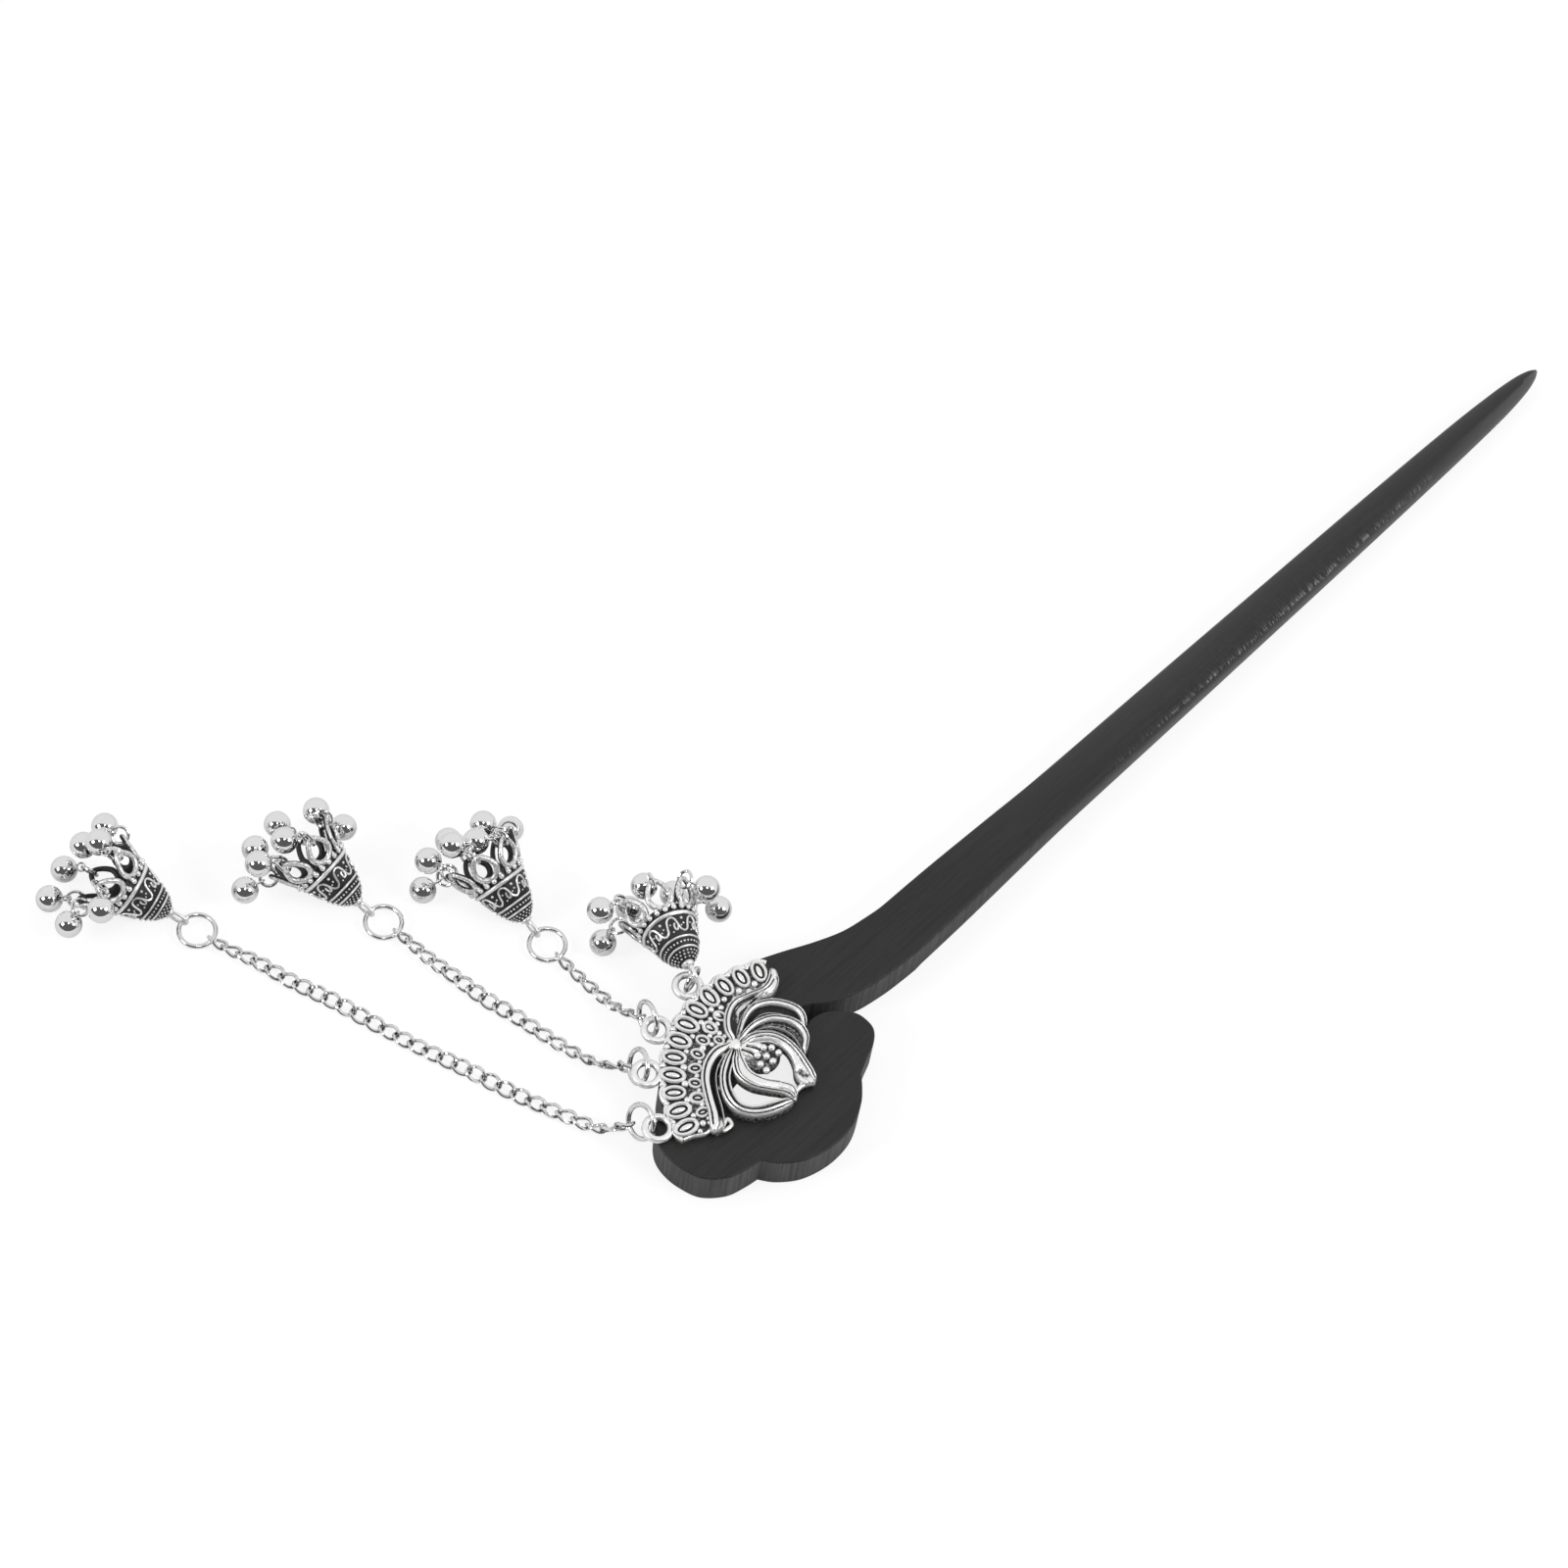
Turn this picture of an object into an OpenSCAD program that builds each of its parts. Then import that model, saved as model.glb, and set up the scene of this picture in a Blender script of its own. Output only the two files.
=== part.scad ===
// Hair stick: a flat dark wood stick whose head is sawn as a curling cloud. A cast
// lotus-and-fan mount lies on the head, with three chains and four bell drops.
// The origin is on the underside, on the shank's centreline, where the straight
// shank leaves the head. +X runs along the shank to its point, +Z is up from the
// surface that the stick lies on.

/* [Wood] */
// Thickness of the board that the stick is sawn from
board_t = 6; // [5:0.5:8]
// Length of the curling head along the stick
head_l = 34.5; // [31:0.5:38]
// Length of the shank from its root to the point
shank_l = 145; // [110:1:170]
// Width of the shank at its root
shank_w = 8.5; // [7.5:0.25:9.5]

/* [Lotus mount] */
// Radius of the fan's outer row of seeds
fan_r = 17.2; // [16:0.2:18]
// Number of seeds in the outer row
fan_seeds = 12; // [10:1:13]
// Thickness of the fan's plate
fan_t = 0.9; // [0.7:0.1:1.2]
// Height of the petals' webs above the plate's underside
petal_t = 1.2; // [0.9:0.1:1.6]
// Width of the raised rims along the leaves and petals
rim_w = 0.8; // [0.6:0.05:1]
// Height of the raised rims over the webs
rim_h = 0.55; // [0.3:0.05:0.8]
// Diameter of the hole in each cast loop
loop_hole_d = 2.4; // [2.2:0.1:2.8]
// Diameter of the round bar of each cast loop
loop_bar_d = 1; // [0.8:0.05:1.2]
// Film of glue between the wood and the mount
glue_gap = 0.05; // [0.02:0.01:0.1]

/* [Rings and chains] */
// Wire diameter of the chain's links
link_wire_d = 0.36; // [0.3:0.02:0.42]
// Width of a link over its wire
link_w = 2.25; // [2.1:0.05:2.5]
// Distance from one link to the next
link_pitch = 2.27; // [2.1:0.01:2.6]
// Wire diameter of the jump rings on the mount's loops
jump_wire_d = 0.6; // [0.5:0.05:0.65]
// Outer diameter of the jump rings on the mount's loops
jump_d = 5.3; // [5:0.1:5.6]
// Outer diameter of the small jump ring that holds the bell beside the head
first_jump_d = 4; // [3.9:0.05:4.1]
// Wire diameter of the round end rings
end_wire_d = 0.55; // [0.45:0.05:0.6]
// Outer diameter of the round end rings
end_d = 5.65; // [5.3:0.05:6]

/* [Bells] */
// Outer diameter of the bell's thick ridge
bell_d = 8.4; // [8:0.1:8.8]
// Height of the bell's cone from its tip to the thick ridge
bell_h = 6.7; // [6.3:0.1:7.1]
// Wall of the bell
bell_wall = 0.6; // [0.4:0.05:0.8]
// Number of loops round the bell's mouth
crown_loops = 7; // [5:1:7]
// Height of a crown loop over its rim
crown_h = 4.6; // [4.2:0.1:5]
// Angle by which the crown loops flare outward
crown_flare = 24; // [20:1:28]
// Diameter of a ball
ball_d = 3.7; // [3.4:0.1:3.8]
// Wire diameter of the small rings that carry the balls
drop_wire_d = 0.4; // [0.3:0.05:0.45]
// Outer diameter of the small rings that carry the balls
drop_ring_d = 2.8; // [2.6:0.1:3]

/* [Hidden] */
// Clearance between metal pieces that pass through each other
play = 0.12;

// Small vector helpers
function unit(v) = v / norm(v);
function across(v, n) = v - (v * n) * n;

// Points of a Catmull-Rom curve through p, with n steps from each point to the next
function curve_at(a, b, c, d, t) =
    0.5 * (2 * b + (c - a) * t + (2 * a - 5 * b + 4 * c - d) * t * t
        + (3 * b - a - 3 * c + d) * t * t * t);
function smooth(p, n) = concat(
    [for (i = [0 : len(p) - 2], k = [0 : n - 1])
        curve_at(p[max(i - 1, 0)], p[i], p[i + 1], p[min(i + 2, len(p) - 1)], k / n)],
    [p[len(p) - 1]]);
function reversed(p) = [for (i = [len(p) - 1 : -1 : 0]) p[i]];

// Direction of a path at one of its points
function heading(p, i, closed) =
    let (last = len(p) - 1)
    closed ? unit(p[(i + 1) % (last + 1)] - p[(i + last) % (last + 1)])
        : unit(p[min(i + 1, last)] - p[max(i - 1, 0)]);

// Round wire of radius r swept along a closed path about its centre c
module closed_wire(path, c, r, sides) {
    n = len(path);
    pts = [for (i = [0 : n - 1])
        let (t = heading(path, i, true), a = unit(across(path[i] - c, t)), b = cross(t, a))
        for (k = [0 : sides - 1])
            path[i] + r * (cos(360 * k / sides) * a + sin(360 * k / sides) * b)];
    polyhedron(pts, faces = [for (i = [0 : n - 1], k = [0 : sides - 1], half = [0, 1])
        let (j = (i + 1) % n, m = (k + 1) % sides, corner = i * sides + k, far = j * sides + m)
        half == 0 ? [corner, j * sides + k, far] : [corner, far, i * sides + m]]);
}

// Turns a piece so that its Z lies along an axis and its X towards a direction
module faced(centre, axis, way) {
    n = unit(axis);
    b = acos(n[2]);
    c = atan2(n[1], n[0]);
    spin = atan2(way * [-sin(c), cos(c), 0], way * [cos(b) * cos(c), cos(b) * sin(c), -sin(b)]);
    translate(centre) rotate([0, b, c]) rotate([0, 0, spin]) children();
}
// A round ring of outer diameter d with its centre and its axis
module round_ring(centre, axis, d, wire_d) {
    translate(centre)
        rotate([0, acos(unit(axis)[2]), atan2(axis[1], axis[0])])
            ring(d, wire_d);
}
module ring(d, wire_d) {
    rotate_extrude($fn = 48)
        translate([(d - wire_d) / 2, 0])
            circle(d = wire_d, $fn = 16);
}

// Wood
// The head is drawn in hundredths of its length from the shank's root. Each stretch
// is one lobe of the cloud, or one bank of the slot and the hollow inside the curl.
hundredth = head_l / 100;
root_y = shank_w / 2;
lobe_steps = 4;
upper_bank = [[-5, 13], [-16, 15], [-28, 19.5], [-42, 26], [-57, 32], [-70, 34.5], [-81, 32.5], [-90, 26.5]];
upper_lobe = [[-90, 26.5], [-100, 24], [-111, 21.5], [-120, 16], [-124.5, 9]];
left_lobe = [[-124.5, 9], [-131, 6.5], [-136, 1], [-138, -6], [-137.5, -14], [-134.5, -22.5], [-127, -29],
    [-119, -31.5], [-113, -32.5]];
lower_lobe = [[-113, -32.5], [-109, -38], [-102, -43.5], [-94, -46.5], [-85, -47.7], [-75.5, -46.5],
    [-67, -42.5], [-61.5, -38], [-57.4, -33.6]];
curl_end = [[-57.4, -33.6], [-50.5, -30.5], [-43.5, -27.5], [-39.3, -23.5], [-38.4, -18.5], [-39.2, -14],
    [-42.5, -9.5], [-47.8, -5.2], [-53.5, -3.6], [-59, -4.5]];
hollow = [[-59, -4.5], [-63, -8.5], [-68, -14], [-75, -18.5], [-84, -20.3], [-93, -18.8], [-100, -14],
    [-103.5, -7], [-100, -1], [-92, 1.2], [-84, 2.5], [-75, 5], [-66, 6], [-59, 5], [-54.5, 3.5]];
lower_bank = [[-54.5, 3.5], [-51, 2], [-47, -0.9], [-42.5, -4], [-38, -6.3], [-33, -8], [-27, -9.6],
    [-16, -11.3], [-5, -12.1]];
head_outline = hundredth * concat(smooth(upper_bank, lobe_steps), smooth(upper_lobe, lobe_steps),
    smooth(left_lobe, lobe_steps), smooth(lower_lobe, lobe_steps), smooth(curl_end, lobe_steps),
    smooth(hollow, lobe_steps), smooth(lower_bank, lobe_steps));

// The shank's sections: share of its length, of its root width and of the board's
// thickness, then how square the section is, from 2 for round upward
shank_sections = [
    [0, 1, 1, 14], [0.07, 0.96, 1, 12], [0.15, 0.88, 0.98, 9], [0.22, 0.82, 0.95, 6],
    [0.32, 0.79, 0.91, 5], [0.45, 0.76, 0.86, 4], [0.6, 0.71, 0.8, 3.2], [0.74, 0.65, 0.74, 2.7],
    [0.86, 0.57, 0.68, 2.4], [0.93, 0.48, 0.6, 2.2], [0.97, 0.36, 0.5, 2.1], [0.99, 0.22, 0.36, 2],
    [1, 0.07, 0.14, 2]];
section_sides = 28;
shank_overlap = 0.4;
point_z = 0.3 * board_t;
function squared(v, e) = sign(v) * pow(abs(v), 2 / e);

module shank() {
    pts = [for (s = shank_sections, k = [0 : section_sides - 1])
        let (a = 360 * (k + 0.5) / section_sides, h = board_t * s[2])
        [s[0] * shank_l, squared(cos(a), s[3]) * root_y * s[1],
            max(h / 2, point_z) + squared(sin(a), s[3]) * h / 2]];
    rings = len(shank_sections);
    n = section_sides;
    polyhedron(pts, faces = concat(
        [for (i = [0 : rings - 2], k = [0 : n - 1])
            [i * n + k, (i + 1) * n + k, (i + 1) * n + (k + 1) % n, i * n + (k + 1) % n]],
        [[for (k = [0 : n - 1]) k], [for (k = [n - 1 : -1 : 0]) (rings - 1) * n + k]]));
}

module stick() {
    color([0.11, 0.1, 0.1]) {
        linear_extrude(board_t)
            polygon(concat([[shank_overlap, root_y]], head_outline, [[shank_overlap, -root_y]]));
        shank();
    }
}

// Lotus mount
// Its curves are drawn in hundredths of the fan's radius from the node where the
// leaves meet. The node sits over the head's upper lobe, as far from the head's far
// edge as lets the loops hang past it.
node_inset = 17.94;
node_x = -138 * hundredth + node_inset;
node_y = 8.4 * hundredth;
plate_z = board_t + glue_gap;
share = fan_r / 100;
fan_centre = [16, -57.5];
fan_first = 62.8;
fan_last = 160.6;
seed_step = (fan_last - fan_first) / (fan_seeds - 1);
loop_angles = [91.5, 114, 133, 156];
loop_reach = fan_r + 1.9 + loop_hole_d / 2 + 0.3;

// A place on the fan, from its centre, in the mount's own millimetres
function on_fan(r, a) = share * fan_centre + r * [cos(a), sin(a)];
function scallop(a) = fan_r + 1.35 + 0.55 * abs(cos(180 * (a - fan_first) / seed_step));
fan_skirt = [[-80, -39], [-71, -42], [-61, -38], [-51, -27], [-40, -11], [-23, -2], [0, -3], [10, 6],
    [24, 17], [44, 18], [60, 14], [69, 20]];

// The leaves and petals: outer rim, inner rim, height of the web's top as a share
leaves = [
    [[[1, 1], [5, 12], [14, 21], [26, 25.5], [40, 22], [53, 18], [64, 21], [71, 27.5]],
        [[3, -1], [14, 7], [26, 13.5], [40, 14.5], [51, 10.5], [62, 13], [68, 19], [71, 26.5]], 1.2],
    [[[-2, 2], [-14, 6], [-27, 3.5], [-39, -4.5], [-49, -17.5], [-58, -31.5], [-67.5, -41]],
        [[-3, -1], [-16, -2], [-29, -7.5], [-39.5, -18.5], [-47.5, -31], [-55, -41], [-60.5, -47]], 1.27],
    [[[4, 1], [20, 10], [35, 13], [48, 7], [56.5, -4], [59.5, -15], [55.5, -24.5], [50, -28]],
        [[5, 0], [21.5, 4], [35.5, 4], [45, -4], [50, -13.5], [51, -21.5], [50, -27.5]], 0.94],
    [[[3.5, -0.5], [22, 1.5], [36.5, -3], [46, -13], [49.5, -24], [46.5, -34.5], [39.5, -40.5], [33, -45]],
        [[3.5, -2], [20, -3], [31.5, -8.5], [38, -18], [39.5, -28.5], [36.5, -38], [33, -44.5]], 1.1],
    [[[2.5, -3], [16, -4.5], [27.5, -13], [32.5, -25], [32, -39], [28.5, -53], [25, -66]],
        [[1.5, -4], [14, -10], [23.5, -19], [26, -32], [22, -43.5], [17, -54], [15, -64.5]], 0.99],
    [[[-2, -2], [-15, -6], [-28, -14], [-38, -27], [-40, -41], [-34, -53], [-20.5, -62], [-1, -67.5]],
        [[-2.5, -3.5], [-11.5, -9.5], [-24, -17.5], [-31.5, -28.5], [-34, -40], [-28, -49.5],
            [-15.5, -56.5], [-1, -63.5]], 1.15],
    [[[-1, -4], [-10.5, -10.5], [-17.5, -21.5], [-16, -35.5], [-8.5, -47.5], [-1.5, -57.5], [-0.5, -66.5]],
        [[1, -4.5], [-5, -15.5], [-8, -26], [-4.5, -38], [2.5, -48], [7, -57.5], [4, -66]], 1.04]];
leaf_steps = 3;
tie_bar = [[-1, -66], [5, -61.5], [14, -61.5], [22, -66]];
stamens = [[3, -26], [11.5, -24.5], [20, -22], [2.5, -33], [12, -31], [20.5, -29], [7, -19], [15.5, -17.5]];
stamen_bed = [10.5, -19.5];
stamen_r = 0.52;
stamen_z = 0.95;

// A seed of the fan: an oval rim round a groove, with an oval boss in it
module oval(half_l, half_w, h) {
    linear_extrude(h) {
        square([2 * (half_l - half_w), 2 * half_w], center = true);
        for (end = [-1, 1])
            translate([end * (half_l - half_w), 0]) circle(r = half_w, $fn = 24);
    }
}
module seed(half_l, half_w, bottom, top) {
    translate([0, 0, bottom]) {
        difference() {
            oval(half_l, half_w, top - bottom);
            translate([0, 0, -1]) oval(half_l - 0.4, half_w - 0.4, top + 1);
        }
        oval(half_l - 0.75, half_w - 0.75, (top - bottom) * 0.8);
    }
}
module seed_row(r, first, count, half_l, half_w, top) {
    for (i = [0 : count - 1])
        translate(on_fan(r, first + i * seed_step))
            rotate([0, 0, first + i * seed_step])
                seed(half_l, half_w, fan_t - 0.2, top);
}

// A raised band along a curve, narrower at its ends
function beside(p, i, d) =
    let (t = heading(p, i, false), ends = min(1, 0.4 + 0.3 * min(i, len(p) - 1 - i)))
    p[i] + d * ends * [-t[1], t[0]];
module rim(path, top) {
    p = smooth(share * path, leaf_steps);
    linear_extrude(top)
        polygon(concat([for (i = [0 : len(p) - 1]) beside(p, i, rim_w / 2)],
            [for (i = [len(p) - 1 : -1 : 0]) beside(p, i, -rim_w / 2)]));
}

module leaf(entry) {
    top = petal_t * entry[2];
    linear_extrude(top)
        polygon(concat(smooth(share * entry[0], leaf_steps), reversed(smooth(share * entry[1], leaf_steps))));
    rim(entry[0], top + rim_h);
    rim(entry[1], top + 0.7 * rim_h);
}

module fan_plate() {
    edge_steps = 4 * fan_seeds;
    from = fan_first - 0.75 * seed_step;
    to = fan_last + 0.75 * seed_step;
    linear_extrude(fan_t)
        polygon(concat(
            [for (i = [0 : edge_steps]) let (a = from + (to - from) * i / edge_steps)
                on_fan(scallop(a), a)],
            share * fan_skirt));
}

module lotus_mount() {
    color([0.72, 0.72, 0.7])
        translate([node_x, node_y, plate_z]) {
            fan_plate();
            seed_row(fan_r, fan_first, fan_seeds, 1.75, 1.15, fan_t + 0.55);
            seed_row(fan_r - 2.9, fan_first + 1.5 * seed_step, fan_seeds - 3, 1.2, 1.05, fan_t + 0.4);
            for (a = loop_angles)
                translate(concat(on_fan(loop_reach, a), [0.1 + loop_bar_d / 2]))
                    rotate_extrude($fn = 40)
                        translate([(loop_hole_d + loop_bar_d) / 2, 0])
                            circle(d = loop_bar_d, $fn = 16);
            for (entry = leaves) leaf(entry);
            rim(tie_bar, petal_t + 0.5 * rim_h);
            translate(share * stamen_bed) cylinder(h = 0.7, r = 2.7, $fn = 32);
            for (q = stamens)
                translate([share * q[0], share * q[1], 0]) {
                    cylinder(h = stamen_z, r = 0.8 * stamen_r, $fn = 16);
                    translate([0, 0, stamen_z]) sphere(r = stamen_r, $fn = 16);
                }
            cylinder(h = petal_t + 0.4, r = 1.1, $fn = 24);
        }
}

// The chains and their bells lie as one drape. The places in it are measured from the
// shank's root with the mount's node at drape_node, and they move with the mount.
drape_node = [-29.67, 2.898];
function draped(p) = p + [node_x - drape_node[0], node_y - drape_node[1], 0];

// Bells
// Each bell has its tip's place, its turn from +Y towards +X, its tilt up from the
// surface and the angle of its first crown loop. The last bell's place is measured
// from the hole of the first cast loop, which carries it.
bell_poses = [
    [[-68.1, 71.6, 1.75], -24, 25, 32],
    [[-48.5, 55.3, 1.75], -10, 25, 45],
    [[-33.9, 37.4, 1.75], 3, 25, 15],
    [[1.607, 1.399, 1.55], 23, -8, 45]];
function bell_tip(k) = k == 4 ? loop_hole(1) + bell_poses[3][0] : draped(bell_poses[k - 1][0]);
ridge_r = bell_d / 2;
crown_base_r = ridge_r - 0.35;
crown_base_z = bell_h + 0.9;
crown_bar = 0.7;
crown_sink = 0.35;
almond_h = 1.12 * crown_h;
almond_w = 3.5;
almond_end = 0.75;
eye_bar = 0.5;
eye_l = 3;
eye_w = 2.15;
eye_sink = 0.35;

// Turns a piece from a bell's own frame, tip at the origin and mouth along +Z, to its place
module placed(k) {
    pose = bell_poses[k - 1];
    translate(bell_tip(k)) rotate([0, 0, -pose[1]]) rotate([pose[2] - 90, 0, 0]) children();
}
// A bell's own axis in the stick's frame
function bell_axis(k) = let (p = bell_poses[k - 1])
    [sin(p[1]) * cos(p[2]), cos(p[1]) * cos(p[2]), sin(p[2])];

// Outside of the cone: share of its height, share of the ridge's radius
bell_profile = [[0, 0.16], [0.05, 0.24], [0.12, 0.3], [0.28, 0.5], [0.3, 0.57], [0.34, 0.57], [0.36, 0.53],
    [0.47, 0.63], [0.49, 0.7], [0.53, 0.7], [0.55, 0.66], [0.75, 0.83], [0.93, 0.93], [0.95, 1], [1.05, 1],
    [1.07, 0.92], [1.2, 0.93]];

module bell_body() {
    rotate_extrude($fn = 48)
        polygon(concat([[0, 0]], [for (q = bell_profile) [q[1] * ridge_r, q[0] * bell_h]],
            [[0.93 * ridge_r - bell_wall, 1.2 * bell_h], [0.75 * ridge_r - bell_wall, 0.75 * bell_h],
                [0.45 * ridge_r - bell_wall, 0.4 * bell_h], [0, 0.3 * bell_h]]));
}

// An almond outline between two arcs: overall height and width
module almond(h, w) {
    r = (h * h + w * w) / (4 * w);
    intersection_for (side = [-1, 1])
        translate([side * (r - w / 2), 0]) circle(r = r, $fn = 48);
}
module crown_loop() {
    translate([0, 0, -crown_bar / 2])
        linear_extrude(crown_bar)
            difference() {
                almond(almond_h, almond_w);
                almond(almond_h - 2 * almond_end, almond_w - 1.3);
            }
}
// Where a crown loop's rim lies at its far end, in the bell's own frame
function crown_angle(k, j) = bell_poses[k - 1][3] + 360 * j / crown_loops;
crown_tip = crown_h / 2 - crown_sink + (almond_h - almond_end) / 2;
function crown_rim(k, j) = let (a = crown_angle(k, j),
        r = crown_base_r + crown_tip * sin(crown_flare))
    [r * cos(a), -r * sin(a), crown_base_z + crown_tip * cos(crown_flare)];

module eye() {
    bar_r = eye_bar / 2;
    half = eye_w / 2 - bar_r;
    straight = eye_l - eye_w;
    translate([0, 0, eye_sink - eye_l / 2])
        rotate([90, 0, 90]) {
            for (end = [-1, 1]) {
                translate([0, end * straight / 2, 0])
                    rotate([0, 0, 90 - end * 90]) rotate_extrude(angle = 180, $fn = 32)
                        translate([half, 0]) circle(r = bar_r, $fn = 16);
                translate([end * half, 0, 0]) rotate([90, 0, 0])
                    cylinder(h = straight, r = bar_r, center = true, $fn = 16);
            }
        }
}

module bell(k) {
    color([0.6, 0.6, 0.58])
        placed(k) {
            bell_body();
            eye();
            for (j = [0 : crown_loops - 1])
                let (a = crown_angle(k, j))
                rotate([0, 0, -a])
                    translate([crown_base_r, 0, crown_base_z])
                        rotate([0, crown_flare, 0])
                            translate([0, 0, crown_h / 2 - crown_sink])
                                rotate([90, 0, 90]) crown_loop();
        }
}

// Small rings and balls of the drops
// Where each ball lies: along the bell's axis from its tip, to its side, and up
ball_aims = [
    [[15.6, 8.2, -3.4], [16.5, 5.3, 0.3], [8.6, -9.3, 2.7], [11.3, -8.4, -5.3], [20.1, -7.1, -8.4],
        [18, -1.4, -8.1], [17.9, 1.3, -5.6]],
    [[13.3, 7.5, -1.2], [16.2, -5.7, 0.4], [16.5, -9.5, -0.3], [13.1, -9.8, -3.8], [16.2, -1.6, -7.1],
        [20.1, 2.5, -8.3], [6.8, 8.5, -2.8]],
    [[15.6, 2.1, -0.2], [14.4, -2.8, 1.7], [16.5, -5, 2.7], [14.8, -6.4, -0.3], [12.3, -11.6, -6.6],
        [21.4, 0, -9], [11.4, 9.8, -5.9]],
    [[9, 6.1, 3.6], [14, -1.2, 1.3], [11.2, -11.9, 1.9], [11.3, -7.2, -3.2], [20.3, -4.2, -2.6],
        [19.2, 6.5, -2.2], [-2.3, 17.2, -5.9]]];
drop_r = (drop_ring_d - drop_wire_d) / 2;
drop_eye_bar = 0.3;
drop_eye_r = drop_wire_d / 2 + drop_eye_bar / 2 + play + 0.1;
ball_hang = ball_d / 2 + drop_eye_r - 0.1;

function aim(k, j) = let (q = ball_aims[k - 1][j]) [q[1], -q[2], q[0]];
// Tangent of the rim, direction in which the ring hangs, its centre and its far point
function drop_side(k, j) = let (a = crown_angle(k, j)) [-sin(a), -cos(a), 0];
function drop_fall(k, j) = unit(across(aim(k, j) - crown_rim(k, j), drop_side(k, j)));
rim_reach = norm([almond_end, crown_bar]) / 2;
function drop_centre(k, j) = crown_rim(k, j)
    + (drop_r - rim_reach - drop_wire_d / 2 - play) * drop_fall(k, j);
function drop_end(k, j) = drop_centre(k, j) + drop_r * drop_fall(k, j);
// Direction from the ring's far point to the ball
function ball_way(k, j) = unit(aim(k, j) - drop_end(k, j));
function eye_centre(k, j) = drop_end(k, j)
    + (drop_eye_r - drop_wire_d / 2 - drop_eye_bar / 2 - play) * ball_way(k, j);

module drop_rings(k) {
    color([0.75, 0.75, 0.75])
        placed(k)
            for (j = [0 : crown_loops - 1])
                round_ring(drop_centre(k, j), drop_side(k, j), drop_ring_d, drop_wire_d);
}

module balls(k) {
    color([0.8, 0.8, 0.8])
        placed(k)
            for (j = [0 : crown_loops - 1])
                let (way = ball_way(k, j), tangent = cross(drop_side(k, j), drop_fall(k, j)))
                faced(eye_centre(k, j), across(tangent, way), way) {
                    translate([ball_hang, 0, 0]) sphere(d = ball_d, $fn = 32);
                    rotate([0, 0, 180]) ring(2 * drop_eye_r + drop_eye_bar, drop_eye_bar);
                }
}

// End rings: each hangs in a bell's eye, at the turn it has from the bell's tip
end_r = (end_d - end_wire_d) / 2;
end_turns = [172, 173, 185];
end_level = 1.02;
eye_reach = eye_l - eye_sink - eye_bar - end_wire_d / 2 - play;
function end_ring_eye(k) = bell_tip(k) - eye_reach * bell_axis(k);
function end_ring_centre(k) = let (e = end_ring_eye(k))
    [e[0] + end_r * sin(end_turns[k - 1]), e[1] + end_r * cos(end_turns[k - 1]), end_level];

module end_ring(k) {
    color([0.8, 0.8, 0.8]) round_ring(end_ring_centre(k), [0, 0, 1], end_d, end_wire_d);
}

// Jump rings on the cast loops: place from the loop's hole, and axis
// The first ring is the small one. It and the last one pass beside their loop's centre.
first_jump_shift = [1.16, 0.3, 0];
last_jump_shift = [-0.4, 0.4, 0];
jump_axes = [[-0.25, 0.97, 0], [-0.91, 0.33, 0.24], [-0.79, 0.45, 0.41], [-0.83, 0.2, 0.53]];
jump_falls = [[1, 0.25, 0], [0.2, 0.97, -0.2], [0.1, 0.9, -0.45], [0.1, 0.85, -0.5]];
function loop_hole(k) = let (q = on_fan(loop_reach, loop_angles[k - 1]))
    [node_x + q[0], node_y + q[1], plate_z + 0.1 + loop_bar_d / 2];
function jump_fall(k) = unit(across(jump_falls[k - 1], unit(jump_axes[k - 1])));
function jump_size(k) = k == 1 ? first_jump_d : jump_d;
function jump_r(k) = (jump_size(k) - jump_wire_d) / 2;
function jump_centre(k) = loop_hole(k) + (k == 1 ? first_jump_shift
    : jump_r(k) * jump_fall(k) + (k == 4 ? last_jump_shift : [0, 0, 0]));

module jump_ring(k) {
    color([0.78, 0.78, 0.78]) round_ring(jump_centre(k), jump_axes[k - 1], jump_size(k), jump_wire_d);
}

// Chains
// Each route runs from an end ring to a jump ring by points that were chosen by hand
chain_routes = [
    [[-65.9, 62.5, 0.9], [-64.4, 58.5, 0.6], [-63.2, 53.5, 0.6], [-61.4, 47.8, 0.6], [-59.8, 41.7, 0.6],
        [-57.8, 34.5, 0.6], [-55.9, 28.5, 0.6], [-54, 22, 0.6], [-51.9, 15.9, 0.6], [-50.1, 11.2, 0.7],
        [-49.1, 8.2, 1.4]],
    [[-47.4, 46.2, 0.9], [-47.3, 43, 0.6], [-46.6, 38, 0.6], [-46.1, 33, 0.6], [-45, 28.5, 0.6],
        [-44.3, 24, 0.6], [-43.5, 19.8, 0.6], [-42.7, 16.6, 0.8], [-41.7, 14.4, 1.5]],
    [[-34.5, 28.4, 0.9], [-34.6, 25.5, 0.7], [-34.5, 22.8, 0.9], [-34.7, 20.6, 1.6], [-34.8, 19, 2.4]]];
chain_falls = [[-0.33, 0.59, -0.74], [-0.06, 0.61, -0.79], [0.05, 0.68, -0.73]];
// Turn of the links about the chain: share of the route, angle
chain_turns = [
    [[0, -40], [0.12, -8], [0.2, 4], [0.31, 34], [0.43, 0], [0.53, 0], [0.64, 34], [0.78, 0], [0.88, -15],
        [1, -72]],
    [[0, -40], [0.22, -10], [0.4, 16], [0.54, 0], [0.72, -20], [1, -80]],
    [[0, -40], [0.5, -30], [1, -50]]];
function chain_route(k) = [for (p = chain_routes[k - 1]) draped(p)];
link_twist = 38;
link_stations = 12;
link_sides = 5;
route_steps = 8;
link_play = 0.22;
link_rest = 0.05;
link_half_w = (link_w - link_wire_d) / 2;
link_hold = link_wire_d + link_play;
last_drop = 1.6;

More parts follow.
